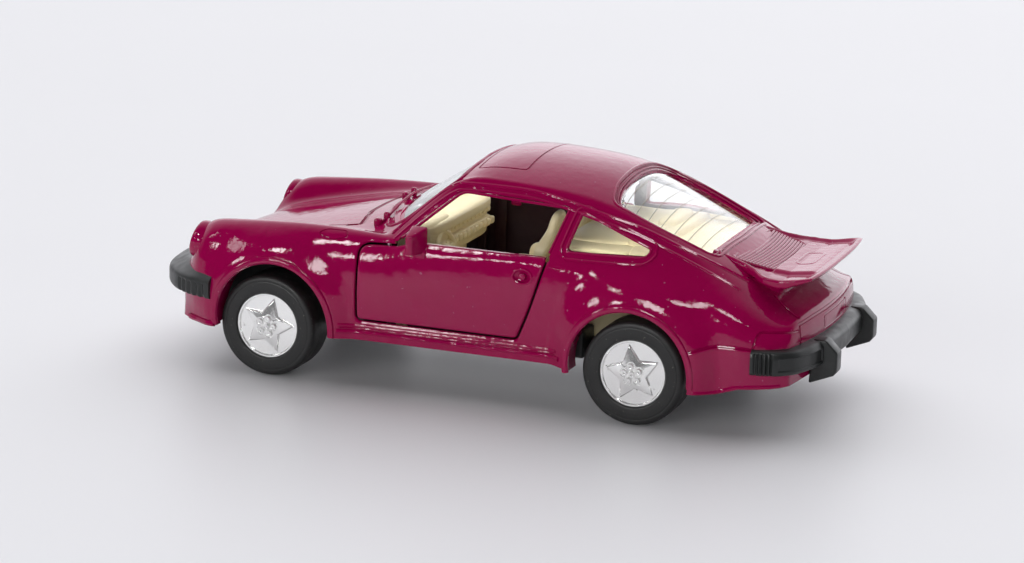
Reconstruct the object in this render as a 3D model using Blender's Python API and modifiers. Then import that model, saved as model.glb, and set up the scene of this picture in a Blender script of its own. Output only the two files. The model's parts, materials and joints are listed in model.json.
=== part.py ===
"""A die-cast toy coupe of about 1:36, with opening doors, rolling wheels and a whale-tail spoiler.

Metres, +Z up. The nose faces -Y and the car's left side is +X. The origin lies on the floor,
under the middle of the car's length.
"""

import math

import bmesh
import bpy
import numpy as np
from mathutils import Matrix, Vector

# Overall lengths
WHEELBASE = 0.0631
FRONT_OVERHANG = 0.02345
REAR_OVERHANG = 0.02975
NOSE_LENGTH = 0.0194
COWL_SETBACK = 0.0134
SCREEN_TOP_SETBACK = 0.0305
WINDOW_TOP_LEAD = 0.0086
TAIL_LENGTH = 0.0255

# Body heights
RIM_HEIGHT = 0.0080
SILL_HEIGHT = 0.0104
WAIST_HEIGHT = 0.0180
BELT_HEIGHT = 0.0252
ROOF_HEIGHT = 0.0375

# Body half widths and walls
ROOF_HALF_WIDTH = 0.0159
WAIST_HALF_WIDTH = 0.0224
FRONT_FLARE = 0.00115
FRONT_FLARE_REACH = (5.5, 4.0, 4.0)
REAR_FLARE = 0.0019
REAR_FLARE_REACH = (8.0, 4.2, 3.8)
WALL = 0.0011
PIECE_GAP = 0.0003

# Wheels and axles
TYRE_RADIUS = 0.0084
TYRE_WIDTH = 0.0070
TYRE_SIDES = 32
RIM_RADIUS = 0.00535
RIM_FIT = 0.0001
STAR_POINTS = 5
STAR_WAIST = 0.00235
STAR_DROP = 0.0004
HUB_LIP = 0.0006
HUB_DISH = 0.0014
HUB_BOSS = (0.0017, 0.0019, 0.0006)
TYRE_SHOULDER = 0.0010
SIDEWALL_BULGE = 0.0001
FRONT_HALF_TRACK = 0.0220
REAR_HALF_TRACK = 0.0229
AXLE_RADIUS = 0.0009
AXLE_FIT = 0.00008
BEARING_FIT = 0.00015
FRONT_ARCH_RADIUS = 0.0106
REAR_ARCH_RADIUS = 0.0103

# Doors
DOOR_WALL = 0.0013
DOOR_GAP = 0.00035
DOOR_FRONT_GAP = 0.0005
HINGE_INSET = 0.0024
HINGE_SETBACK = 0.0050
HINGE_PIN_RADIUS = 0.00035
HINGE_FIT = 0.00010
HINGE_LUG_RADIUS = 0.00072
HINGE_RELIEF_RADIUS = 0.00095
HINGE_BOSS_RADIUS = 0.00085
HINGE_WEB_RATIO = 0.6
SEAT_DROP_RATIO = 1.6
MIRROR_SIZE = (0.0029, 0.0032, 0.0040)
MIRROR_ROUNDING = 0.0009
MIRROR_FOOT_RATIO = 0.45

# Glazing
GLASS_GAP = 0.00025
GLASS_THICKNESS = 0.0008

# Base plate and screws
BASE_THICKNESS = 0.0012
BASE_CLEARANCE = 0.0078
BEARING_INNER_X = 0.0098
BEARING_HALF_LENGTH = 0.0024
BEARING_WALL = 0.0009
BEARING_END_GAP = 0.0005
BEARING_ROUNDING = 0.0003
STOP_ENDS = (0.0174, 0.0186)
POST_RADIUS = 0.0020
SCREW_SHANK_RADIUS = 0.0007
SCREW_HEAD_RADIUS = 0.0017
SCREW_HEAD_HEIGHT = 0.0007
SCREW_LENGTH = 0.0055
SCREW_SLOT = (0.0011, 0.0002)

# Interior
TUB_FLOOR = 0.0012
TUB_WALL = 0.0012
TUB_HALF_WIDTH = 0.0172
TUNNEL_HALF_WIDTH = 0.0022
SEAT_WIDTH = 0.0108
SEAT_SPACING = 0.0086
SEAT_LEAN = math.radians(12)
SEAT_ROUNDING = 0.0006
SEAT_BACK = (0.94, 0.0, 0.0030, -0.0010, 0.0118)
HEADREST = (0.42, 0.0004, 0.0026, 0.0112, 0.0152)
DASH_HALF_WIDTH = 0.0142
DASH_ROUNDING = 0.0007
DASH_HOOD_HALF_WIDTH = 0.0048
STEERING_RADIUS = 0.0044
STEERING_RIM = 0.0005
STEERING_HUB = (0.0013, 0.0005)
COLUMN_RADIUS = 0.0006
COLUMN_LENGTH = 0.0058
SPOKE_RADIUS = 0.0004
SPOKE_ANGLES = (math.radians(10), math.radians(170), math.radians(-90))

# Lamps and bumpers
LAMP_RADIUS = 0.0035
LAMP_TILT = math.radians(23.4)
BUMPER_HEIGHT = 0.0041
FRONT_BUMPER_LIFT = 0.0119
REAR_BUMPER_LIFT = 0.0104
OVERRIDER_WIDTH = 0.0028
OVERRIDER_ROUNDING = 0.0007
BUMPER_ROUNDING = 0.0005
PEG_RADIUS = 0.0008
PEG_FIT = 0.0003
PEG_HOLE_REACH = 0.004
SPOILER_PEG_LENGTH = 0.0045
LENS_DEPTH = 0.00132
LENS_PROFILE = ((0.0, 0.00088), (0.62, 0.00068), (0.93, 0.00022), (1.0, -0.00033))

# Derived places
LENGTH = FRONT_OVERHANG + WHEELBASE + REAR_OVERHANG
FRONT_AXLE_Y = FRONT_OVERHANG - LENGTH / 2
REAR_AXLE_Y = FRONT_AXLE_Y + WHEELBASE
AXLE_HEIGHT = TYRE_RADIUS * math.cos(math.pi / TYRE_SIDES)
BASE_TOP = BASE_CLEARANCE + BASE_THICKNESS

# The lines plan is drawn on a grid of design millimetres: s behind the front axle, x out from the
# middle and z up from the floor. The named sizes above place the grid's marks, and what lies
# between two marks follows them.
DESIGN_UNIT = 0.001
LENGTH_MARKS = (-19.4, 0.0, 13.4, 30.5, 54.5, 63.1, 88.6)
LENGTH_PLACES = (
    FRONT_AXLE_Y - NOSE_LENGTH,
    FRONT_AXLE_Y,
    FRONT_AXLE_Y + COWL_SETBACK,
    FRONT_AXLE_Y + SCREEN_TOP_SETBACK,
    REAR_AXLE_Y - WINDOW_TOP_LEAD,
    REAR_AXLE_Y,
    REAR_AXLE_Y + TAIL_LENGTH,
)
WIDTH_MARKS = (0.0, 15.9, 22.4)
WIDTH_PLACES = (0.0, ROOF_HALF_WIDTH, WAIST_HALF_WIDTH)
HEIGHT_MARKS = (0.0, 8.0, 10.4, 18.0, 25.2, 37.5)
HEIGHT_PLACES = (0.0, RIM_HEIGHT, SILL_HEIGHT, WAIST_HEIGHT, BELT_HEIGHT, ROOF_HEIGHT)

# Stations of the lines plan, nose to tail. Each has its place s on the centre line, its bow (how far
# it curves back at x = 20), and ten rails (x, z) from the centre line over the top and down the
# side: centre, middle and edge of the hood or roof, valley, drip rail, crest or belt, shoulder,
# waist, sill and bottom rim.
BOW_WIDTH = 20.0
STATIONS = {
    "chin_low": (-19.3, 3.3, ((0, 6.0), (4.5, 6.0), (8.5, 6.0), (11.3, 6.0), (13.0, 6.0),
                              (14.3, 6.0), (15.2, 6.0), (15.9, 6.0), (16.5, 6.0), (17.0, 6.0))),
    "chin": (-19.8, 3.2, ((0, 11.8), (4.9, 11.8), (9.2, 11.7), (12.3, 11.6), (14.2, 11.4),
                          (15.7, 11.1), (16.7, 10.6), (17.3, 9.8), (17.5, 8.7), (17.4, 6.2))),
    "nose_face": (-19.4, 3.0, ((0, 16.0), (5, 15.9), (9.5, 15.7), (12.8, 15.4), (15, 15.0),
                               (16.6, 14.5), (17.7, 13.6), (18.3, 12.0), (18.3, 9.8), (17.9, 6.4))),
    "nose_lip": (-18.6, 3.2, ((0, 17.1), (5.2, 17.0), (10, 16.8), (13.4, 16.9), (15.4, 17.3),
                              (17.7, 17.4), (19.6, 16.2), (20.4, 13.2), (20.4, 9.8), (19.8, 6.4))),
    "lamp_low": (-16.2, 2.6, ((0, 18.5), (5.4, 18.4), (10.4, 18.1), (13.1, 18.7), (14.7, 20.4),
                              (17.7, 21.5), (20.6, 19.6), (21.6, 14.6), (21.4, 10), (20.8, 6.4))),
    "lamp_top": (-12.4, 1.0, ((0, 20.2), (5.6, 20.1), (10.9, 19.9), (13.3, 20.6), (14.9, 22.8),
                              (17.7, 24.0), (20.9, 22.0), (22.2, 16), (22, 10.2), (21.4, 6.4))),
    "hood_front": (-7, 0, ((0, 21.7), (5.9, 21.6), (11.3, 21.3), (13.9, 21.8), (15.4, 23.6),
                           (18.0, 24.6), (21.2, 22.5), (22.5, 16.5), (22.3, 10.2), (21.7, 6.5))),
    "hood_mid": (2, 0, ((0, 23.6), (6.4, 23.5), (12, 23.1), (14.8, 23.4), (16.3, 24.6),
                        (18.5, 25.2), (21.3, 22.8), (22.5, 17), (22.3, 10.3), (21.7, 6.6))),
    "hood_rear": (9, 2.5, ((0, 25.0), (6.8, 24.9), (12.6, 24.5), (15.6, 24.5), (17.2, 25.1),
                           (19.0, 25.3), (21.2, 23.0), (22.4, 17.4), (22.1, 10.4), (21.5, 6.6))),
    "cowl": (13.4, 5.5, ((0, 25.8), (7, 25.7), (13, 25.3), (16.6, 25.0), (18.3, 25.1),
                         (19.6, 25.1), (21.2, 23.2), (22.4, 17.8), (22.0, 10.4), (21.4, 6.6))),
    "screen_low": (15.4, 6.0, ((0, 26.9), (7.1, 26.7), (13.2, 26.2), (16.9, 25.7), (18.5, 25.7),
                               (20.2, 25.1), (21.3, 23.4), (22.4, 18.0), (22.0, 10.4), (21.4, 6.6))),
    "screen_mid": (22.5, 3.5, ((0, 31.5), (7.2, 31.2), (13.2, 30.2), (16.2, 29.3), (17.7, 29.2),
                               (20.6, 25.1), (21.5, 23.4), (22.4, 18.4), (22, 10.4), (21.4, 6.6))),
    "screen_top": (30.5, 0.8, ((0, 36.1), (7, 35.7), (12.4, 34.9), (14.7, 34.3), (15.9, 33.6),
                               (20.7, 25.1), (21.6, 23.4), (22.4, 18.5), (22, 10.4), (21.4, 6.6))),
    "roof_front": (37, 0, ((0, 37.5), (7, 37.0), (12.4, 35.8), (14.7, 34.9), (15.9, 33.8),
                           (20.8, 25.2), (21.6, 23.5), (22.4, 18.5), (22, 10.4), (21.4, 6.6))),
    "roof_rear": (46, 0, ((0, 37.2), (7, 36.7), (12.3, 35.4), (14.6, 34.5), (15.9, 33.3),
                          (20.8, 25.4), (21.7, 23.5), (22.4, 18.5), (22, 10.4), (21.4, 6.6))),
    "window_top": (54.5, 1.5, ((0, 35.9), (6.6, 35.5), (11.8, 34.2), (14.3, 33.2), (16.0, 31.9),
                               (20.6, 25.4), (22.0, 23.0), (22.6, 18.3), (22.2, 10.4), (21.6, 6.6))),
    "window_mid": (63, 0, ((0, 32.2), (6.3, 31.9), (11.2, 31.0), (13.9, 30.4), (16.1, 29.4),
                           (20.0, 25.0), (22.2, 22.2), (22.8, 17.8), (22.4, 10.4), (21.8, 6.6))),
    "window_base": (71.5, 0, ((0, 27.7), (5.8, 27.5), (10.4, 27.1), (13.1, 26.7), (15.5, 26.0),
                              (19.0, 23.4), (21.8, 20.6), (22.6, 16.8), (22.5, 10.4), (22.0, 5.8))),
    "deck_mid": (79, 0, ((0, 23.9), (5.8, 23.8), (10.4, 23.4), (13.0, 22.9), (15.6, 22.0),
                         (18.8, 20.5), (21.2, 18.6), (22.2, 15.8), (22.2, 10.4), (21.8, 5.6))),
    "deck_end": (85.0, -0.8, ((0, 19.9), (5.6, 19.8), (10.2, 19.5), (12.9, 19.2), (15.4, 18.7),
                              (17.8, 18.0), (19.8, 16.8), (20.9, 14.7), (21.0, 10.4), (20.6, 5.9))),
    "tail_edge": (88.2, -1.0, ((0, 18.8), (5.6, 18.7), (10.1, 18.6), (12.7, 18.4), (14.9, 18.2),
                               (16.9, 17.7), (18.5, 16.5), (19.5, 14.3), (19.6, 10.3), (19.2, 6.0))),
    "tail_face": (89.0, -1.6, ((0, 17.4), (5.5, 17.4), (10, 17.2), (12.6, 17.1), (14.8, 16.9),
                               (16.7, 16.3), (18.1, 15.3), (19.0, 13.4), (19.1, 10), (18.7, 6.2))),
    "tail_mid": (89.4, -2.0, ((0, 12.6), (5.4, 12.6), (9.8, 12.5), (12.4, 12.4), (14.4, 12.2),
                              (16.2, 11.9), (17.4, 11.3), (18.2, 10.4), (18.5, 9.0), (18.3, 6))),
    "tail_low": (89.0, -2.2, ((0, 6.0), (5, 6.0), (9, 6.0), (11.6, 6.0), (13.4, 6.0),
                              (14.9, 6.0), (16.1, 6.0), (16.9, 6.0), (17.4, 6.0), (17.8, 6.0))),
}
WHOLE_BODY = ("chin_low", "tail_low", 9)
CABIN_ROOF = ("hood_rear", "deck_mid", 5)
OUTER_DENSITY = (1.75, 1.45)
INNER_DENSITY = (1.0, 1.0)
CABIN_DENSITY = (1.0, 1.0)
CORNER_POINTS = 2
FLARE_RAILS = (4.6, 6.2)
SKIRT_DEPTH = -0.004

# Side view outlines (s, z) on the lines plan
RIM_LINE = ((-40, 7.6), (-15, 7.6), (-9, 7.8), (12.5, 8.0), (52.5, 8.0), (72.0, 6.6), (76.5, 6.7),
            (80, 7.8), (86, 8.2), (89, 8.8), (110, 8.8))
DOOR_OUTLINE = ((15.8, 11.25), (43.6, 11.25), (45.8, 16.5), (48.4, 25.3), (22.8, 24.3), (17.0, 24.0),
                (15.8, 22.9))
DOOR_WINDOW = ((22.2, 23.4), (22.9, 25.4), (31.9, 33.0), (50.0, 32.1), (48.3, 25.6), (47.6, 23.4))
GREENHOUSE = ((17.0, 27.0), (24.5, 25.9), (66.0, 25.9), (70.6, 26.9), (66.0, 40.0), (17.0, 40.0))
GLASS_DOOR_GAP = ((20.5, 25.0), (30.6, 33.9), (50.6, 33.2), (50.0, 25.0))
QUARTER_WINDOW = ((50.9, 26.2), (52.3, 31.5), (64.0, 27.1), (63.2, 26.3))
FRONT_ARCH_CENTRE = (1.3, 9.2)
REAR_ARCH_CENTRE = (63.1, 8.4)

# Front and rear view half outlines (x, z), from the middle out and back
WINDSCREEN = ((0, 27.5), (8, 27.2), (13, 26.8), (16.0, 26.5), (13.7, 33.5), (7, 34.9), (0, 35.3))
REAR_WINDOW = ((0, 27.3), (11.0, 26.9), (12.4, 27.8), (13.3, 30.2), (13.2, 32.2), (12.4, 33.2), (8, 34.6),
               (0, 35.1))
WINDSCREEN_CUT = (8, 36)
REAR_WINDOW_CUT = (51, 76)

# Half plans (x, s)
FRONT_BUMPER_PLAN = ((0, -23.45), (9, -22.7), (15, -21.3), (19.4, -18.3), (22.6, -14), (24.0, -9.4),
                     (20.4, -9.4))
REAR_BUMPER_PLAN = ((0, 91.4), (12, 90.8), (18.4, 89.0), (21.2, 86.8), (22.6, 84), (22.8, 81.9),
                    (20.4, 81.9))
SPOILER_PLAN = ((0, 71.6), (11.2, 72.4), (12.7, 77), (14.0, 83), (14.5, 87.6), (13.4, 89.2), (0, 89.8))
TRAY_PLAN = ((0, 74.2), (9.6, 74.6), (11.2, 78), (12.4, 83), (12.9, 86.8), (12.0, 88.0), (0, 88.4))
BASE_PLAN = ((11.5, -15.4), (12.8, -14), (12.8, 13.4), (18.8, 14.6), (18.8, 50.4),
             (12.8, 51.6), (12.8, 75.2), (17.4, 76.4), (17.4, 83.2), (14, 85.2))

# Side profile of the spoiler and of the floor of its tray (s, z)
SPOILER_PROFILE = ((70.5, 27.6), (74.2, 26.0), (78, 25.1), (83, 24.8), (87, 24.9), (89.9, 25.4),
                   (89.9, 24.8), (87.0, 23.4), (84.8, 21.4), (83.2, 18.0), (70.5, 18.0))
TRAY_FLOOR = ((72.0, 26.0), (75.5, 24.9), (79, 24.1), (83, 23.9), (89.6, 24.4), (89.6, 32), (72.0, 32))

# Places on the lines plan: (x, s) in plan, heights z
SCREW_PLACES = {"front": 13.6, "rear": 78.0}
LAMP_CENTRE = (17.6, -14.7, 19.7)
BUMPER_PEG_X = 9.0
FRONT_PEG = (-21.0, 0.0058)
REAR_PEG = (90.0, -0.0058)
SPOILER_PEG = (7.5, 81.6, 23.5)
OVERRIDER_X = 10.9
OVERRIDER_ENDS = (89.6, 7.4, 14.2)
MIRROR_PLACE = (23.2, 26.9, 25.5)
STEERING_PLACE = (8.6, 28.4, 23.0)
STEERING_TILT = math.radians(24)
SEAT_PLACE = (45.0, 16.4)
CUSHION = (35.5, 48.5, 17.0)
DASH_ENDS = (19.2, 24.6, 18.6, 23.2)
DASH_HOOD_ENDS = (21.4, 25.4, 20.9, 24.9)
SILL_ENDS = (23.2, 49.8, 13.4)
STOP_PLACE = (46.0, 50.2, 12.4)

# The blocks of the interior above its floor: half width x, from s to s, from z to z
FLOOR_ENDS = (17.0, 23.0, 50.0)
FOOTWELL_ENDS = (13.6, 19.2, 24.0)
FOOT_WALL = (13.8, 19.2, 20.4, 9.4, 18.6)
BENCH_FRONT = (12.4, 49.0, 50.8, 9.4, 18.2)
BENCH_ENDS = (12.6, 50.2, 73.2, 18.4)
BENCH_BLOCKS = (
    (14.0, 50.6, 62.5, 17.9, 20.4),
    (13.8, 60.5, 63.5, 18.0, 25.2),
    (13.2, 62.0, 68.8, 23.6, 24.9),
)
TUNNEL_ENDS = (24.0, 50.0, 14.2)

PAINT = ("plum_paint", (0.26, 0.004, 0.075), 0.22, 0.0)
CREAM = ("cream_plastic", (0.72, 0.66, 0.50), 0.5, 0.0)
BLACK = ("black_plastic", (0.018, 0.018, 0.02), 0.5, 0.0)
RUBBER = ("tyre_rubber", (0.016, 0.016, 0.017), 0.7, 0.0)
CHROME = ("bright_plating", (0.85, 0.86, 0.88), 0.08, 1.0)
STEEL = ("steel", (0.60, 0.61, 0.63), 0.3, 1.0)
CLEAR = ("clear_plastic", (0.92, 0.94, 0.94), 0.03, 0.0)


def placed(value, marks, places):
    """Map grid values to metres; past the outer marks the grid keeps its own unit."""
    margin = 1000.0
    all_marks = (marks[0] - margin, *marks, marks[-1] + margin)
    reach = margin * DESIGN_UNIT
    all_places = (places[0] - reach, *places, places[-1] + reach)
    return np.interp(value, all_marks, all_places)


def along(s):
    """Y of a place s behind the front axle on the lines plan."""
    return placed(s, LENGTH_MARKS, LENGTH_PLACES)


def out(x):
    """X of a place x out from the middle, for either side."""
    return np.sign(x) * placed(np.abs(x), WIDTH_MARKS, WIDTH_PLACES)


def up(z):
    """Z of a height on the lines plan."""
    return placed(z, HEIGHT_MARKS, HEIGHT_PLACES)


def point(x, s, z):
    """A lines plan point in metres."""
    return Vector((float(out(x)), float(along(s)), float(up(z))))


def smooth(t):
    """Ease from 0 to 1."""
    t = np.clip(t, 0.0, 1.0)
    return t * t * (3.0 - 2.0 * t)


def padded(net):
    """Add a phantom line all round a half net: straight on at its ends, mirrored at the middle."""
    net = np.concatenate([2 * net[:1] - net[1:2], net, 2 * net[-1:] - net[-2:-1]], axis=0)
    inner = net[:, 1:2] * np.array([-1.0, 1.0, 1.0])
    outer = 2 * net[:, -1:] - net[:, -2:-1]
    return np.concatenate([inner, net, outer], axis=1)


def spline_weights(t):
    """Uniform cubic B-spline weights of four neighbours."""
    first = (1 - t) ** 3
    second = 3 * t**3 - 6 * t**2 + 4
    third = -3 * t**3 + 3 * t**2 + 3 * t + 1
    return np.stack([first, second, third, t**3], -1) / 6


def flare(s, z, rail):
    """How far the wheel arch flares stand out at a side view point, in metres."""
    side = smooth((rail - FLARE_RAILS[0]) / (FLARE_RAILS[1] - FLARE_RAILS[0]))
    total = np.zeros_like(s)
    arches = (
        (FRONT_ARCH_CENTRE, FRONT_ARCH_RADIUS, FRONT_FLARE, FRONT_FLARE_REACH),
        (REAR_ARCH_CENTRE, REAR_ARCH_RADIUS, REAR_FLARE, REAR_FLARE_REACH),
    )
    for centre, radius, amount, (reach_up, reach_front, reach_back) in arches:
        ds = s - centre[0]
        dz = z - centre[1]
        distance = np.hypot(ds, dz)
        lift = np.clip(dz / distance, 0.0, 1.0) ** 1.5
        reach_side = np.where(ds < 0, reach_front, reach_back)
        reach = reach_side + (reach_up - reach_side) * lift
        total = total + amount * (1.0 - smooth((distance - radius / DESIGN_UNIT) / reach))
    return total * side


def body_surface(patch, density, inset):
    """Points (rows, columns, 3) of a patch of the body, left side to right side, moved in by inset.

    A patch is its first and last station and its lowest rail; density is points per station and rail.
    """
    first_station, last_station, last_rail = patch
    net = []
    for s, bow, rails in STATIONS.values():
        net.append([(x, s + bow * (x / BOW_WIDTH) ** 2, z) for x, z in rails])
    net = np.array(net, dtype=float)
    wide = padded(net)
    fair = (8 * wide[1:-1] - wide[:-2] - wide[2:]) / 6
    fair = (8 * fair[:, 1:-1] - fair[:, :-2] - fair[:, 2:]) / 6
    control = padded(fair)
    names = list(STATIONS)
    start = names.index(first_station)
    end = names.index(last_station)
    u = np.linspace(start, end, round((end - start) * density[0]) + 1)
    v = np.linspace(0.0, last_rail, round(last_rail * density[1]) + 1)
    first = np.clip(u.astype(int), 0, net.shape[0] - 2)
    second = np.clip(v.astype(int), 0, net.shape[1] - 2)
    weights_u = spline_weights(u - first)
    weights_v = spline_weights(v - second)
    lines = sum(weights_u[:, k, None, None] * control[first + k] for k in range(4))
    plan = sum(weights_v[None, :, k, None] * lines[:, second + k] for k in range(4))
    plan[:, 0, 0] = 0.0
    half = np.stack([out(plan[..., 0]), along(plan[..., 1]), up(plan[..., 2])], axis=-1)
    half[..., 0] += flare(plan[..., 1], plan[..., 2], np.broadcast_to(v, plan.shape[:2]))
    whole = np.concatenate([half[:, :0:-1], half * np.array([-1.0, 1.0, 1.0])], axis=1)
    normal = np.cross(np.gradient(whole, axis=0), np.gradient(whole, axis=1))
    normal /= np.linalg.norm(normal, axis=-1, keepdims=True)
    span = CORNER_POINTS
    for row, ends in ((span, slice(None, span)), (-span - 1, slice(-span, None))):
        normal[ends, :span] = normal[row, span]
        normal[ends, -span:] = normal[row, -span - 1]
    return whole - inset * normal


def clear_scene():
    """Remove every object that the file starts with."""
    for obj in list(bpy.data.objects):
        bpy.data.objects.remove(obj, do_unlink=True)


def new_collection(name):
    """Make a collection in the scene."""
    made = bpy.data.collections.new(name)
    bpy.context.scene.collection.children.link(made)
    return made


def principled(name, colour, roughness, metallic):
    """A plain Principled material, made once."""
    if name in bpy.data.materials:
        return bpy.data.materials[name]
    made = bpy.data.materials.new(name)
    made.use_nodes = True
    shader = made.node_tree.nodes["Principled BSDF"]
    shader.inputs["Base Color"].default_value = (*colour, 1.0)
    shader.inputs["Roughness"].default_value = roughness
    shader.inputs["Metallic"].default_value = metallic
    return made


def link(name, mesh):
    """An object with this mesh in the cutters' collection, where every shape starts."""
    obj = bpy.data.objects.new(name, mesh)
    bpy.data.collections["cutters"].objects.link(obj)
    obj.hide_render = True
    obj.display_type = "WIRE"
    return obj


def mesh_object(name, bm):
    """Turn a bmesh into an object."""
    bmesh.ops.recalc_face_normals(bm, faces=bm.faces)
    mesh = bpy.data.meshes.new(name)
    bm.to_mesh(mesh)
    bm.free()
    return link(name, mesh)


def baked(obj):
    """Replace an object's mesh by its evaluated mesh, and drop its modifiers."""
    graph = bpy.context.evaluated_depsgraph_get()
    mesh = bpy.data.meshes.new_from_object(obj.evaluated_get(graph))
    obj.modifiers.clear()
    obj.data = mesh
    return obj


def combine(obj, tool, operation, keep=False):
    """Apply one Boolean with another object, and remove that object unless it is kept."""
    modifier = obj.modifiers.new(operation.lower(), "BOOLEAN")
    modifier.operation = operation
    modifier.solver = "MANIFOLD"
    modifier.object = tool
    baked(obj)
    if not keep:
        bpy.data.objects.remove(tool, do_unlink=True)
    return obj


def cut(obj, tool, keep=False):
    """Subtract a tool."""
    return combine(obj, tool, "DIFFERENCE", keep)


def join(obj, tool, keep=False):
    """Unite with a tool."""
    return combine(obj, tool, "UNION", keep)


def common(obj, tool, keep=False):
    """Keep what both hold."""
    return combine(obj, tool, "INTERSECT", keep)


def copy_of(obj, name):
    """A second object with its own mesh."""
    made = link(name, obj.data.copy())
    made.matrix_world = obj.matrix_world.copy()
    return made


def other_hand(obj, name):
    """A mirrored copy for the other side of the car."""
    made = copy_of(obj, name)
    made.data.transform(Matrix.Scale(-1.0, 4, (1.0, 0.0, 0.0)))
    made.data.flip_normals()
    return made


def box(name, low, high):
    """A box between two corners."""
    bm = bmesh.new()
    bmesh.ops.create_cube(bm, size=1.0)
    low = Vector(low)
    high = Vector(high)
    bmesh.ops.scale(bm, vec=high - low, verts=bm.verts)
    bmesh.ops.translate(bm, vec=(low + high) / 2, verts=bm.verts)
    return mesh_object(name, bm)


def rounded(obj, width, segments=1):
    """Bevel every edge of an object."""
    modifier = obj.modifiers.new("rounding", "BEVEL")
    modifier.width = width
    modifier.segments = segments
    modifier.limit_method = "ANGLE"
    return baked(obj)


def cylinder(name, radius, start, end, sides=24):
    """A round bar between two points, with a flat at its lowest side where it lies level."""
    start = Vector(start)
    end = Vector(end)
    bm = bmesh.new()
    bmesh.ops.create_cone(bm, cap_ends=True, segments=sides, radius1=radius, radius2=radius,
                          depth=(end - start).length)
    turn = (end - start).to_track_quat("Z", "Y").to_matrix().to_4x4()
    bmesh.ops.transform(bm, matrix=Matrix.Translation((start + end) / 2) @ turn, verts=bm.verts)
    return mesh_object(name, bm)


def prism(name, outline, low, high, axis):
    """Extrude a flat outline along an axis: X takes (y, z) points, Y takes (x, z), Z takes (x, y)."""
    curve = bpy.data.curves.new(name, "CURVE")
    curve.dimensions = "2D"
    curve.fill_mode = "BOTH"
    curve.extrude = (high - low) / 2
    spline = curve.splines.new("POLY")
    spline.points.add(len(outline) - 1)
    for item, (first, second) in zip(spline.points, outline):
        item.co = (first, second, 0.0, 1.0)
    spline.use_cyclic_u = True
    drawn = link(name + "_outline", curve)
    middle = (low + high) / 2
    turns = {
        "X": Matrix(((0, 0, 1, middle), (1, 0, 0, 0), (0, 1, 0, 0), (0, 0, 0, 1))),
        "Y": Matrix(((1, 0, 0, 0), (0, 0, -1, middle), (0, 1, 0, 0), (0, 0, 0, 1))),
        "Z": Matrix.Translation((0, 0, middle)),
    }
    graph = bpy.context.evaluated_depsgraph_get()
    mesh = bpy.data.meshes.new_from_object(drawn.evaluated_get(graph))
    bpy.data.objects.remove(drawn, do_unlink=True)
    bm = bmesh.new()
    bm.from_mesh(mesh)
    bpy.data.meshes.remove(mesh)
    bmesh.ops.remove_doubles(bm, verts=bm.verts, dist=1e-6)
    bmesh.ops.transform(bm, matrix=turns[axis], verts=bm.verts)
    return mesh_object(name, bm)


def mirrored(half):
    """A whole outline from its right half, whose ends may lie on the middle line."""
    other = [(-x, y) for x, y in reversed(half) if x > 1e-9]
    return [*half, *other]


def side_outline(points):
    """Side view points in metres."""
    return [(float(along(s)), float(up(z))) for s, z in points]


def front_outline(half):
    """Whole front view outline in metres from a half outline."""
    return mirrored([(float(out(x)), float(up(z))) for x, z in half])


def plan_outline(half):
    """Whole plan outline in metres from a half outline."""
    return mirrored([(float(out(x)), float(along(s))) for x, s in half])


def shrunk(outline, gaps):
    """Move each edge of a closed outline inwards by its own gap."""
    count = len(outline)
    points = [Vector(p) for p in outline]
    area = sum(points[i - 1].x * points[i].y - points[i].x * points[i - 1].y for i in range(count))
    turn = math.copysign(1.0, area)
    lines = []
    for i in range(count):
        direction = (points[(i + 1) % count] - points[i]).normalized()
        inward = Vector((-direction.y, direction.x)) * turn
        lines.append((points[i] + inward * gaps[i], direction))
    moved = []
    for i in range(count):
        (a, da), (b, db) = lines[i - 1], lines[i]
        cross = da.x * db.y - da.y * db.x
        reach = ((b.x - a.x) * db.y - (b.y - a.y) * db.x) / cross
        moved.append(tuple(a + da * reach))
    return moved


def turned(name, profile, steps, half_step=False):
    """Turn a profile of (radius, height) points round +Z; a closed ring is given as closed."""
    bm = bmesh.new()
    points = [bm.verts.new((radius, 0.0, height)) for radius, height in profile]
    for first, second in zip(points, points[1:]):
        bm.edges.new((first, second))
    if profile[0][0] > 0.0:
        bm.edges.new((points[-1], points[0]))
    if half_step:
        turn = Matrix.Rotation(math.pi / steps, 3, "Z")
        bmesh.ops.rotate(bm, cent=(0, 0, 0), matrix=turn, verts=bm.verts)
    mesh = bpy.data.meshes.new(name)
    bm.to_mesh(mesh)
    bm.free()
    obj = link(name, mesh)
    modifier = obj.modifiers.new("turn", "SCREW")
    modifier.steps = steps
    modifier.render_steps = steps
    modifier.use_merge_vertices = True
    modifier.merge_threshold = 1e-6
    baked(obj)
    bm = bmesh.new()
    bm.from_mesh(obj.data)
    bpy.data.objects.remove(obj, do_unlink=True)
    return mesh_object(name, bm)


def faced(obj, place, direction):
    """Move a shape's own +Z to a direction at a place."""
    turn = Vector(direction).to_track_quat("Z", "Y").to_matrix().to_4x4()
    obj.data.transform(Matrix.Translation(place) @ turn)
    return obj


def finish(obj, look, origin=(0.0, 0.0, 0.0), parent=None):
    """Make a shape a piece of the car: its look, its origin, its parent and its place."""
    bpy.data.collections["cutters"].objects.unlink(obj)
    bpy.data.collections["toy_car"].objects.link(obj)
    obj.hide_render = False
    obj.display_type = "TEXTURED"
    obj.data.transform(Matrix.Translation(-Vector(origin)))
    obj.data.materials.clear()
    obj.data.materials.append(principled(*look))
    obj.data.shade_smooth()
    obj.data.set_sharp_from_angle(angle=math.radians(35))
    if parent is None:
        obj.location = origin
    else:
        obj.parent = parent
        obj.location = Vector(origin) - parent.location
    return obj


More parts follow.
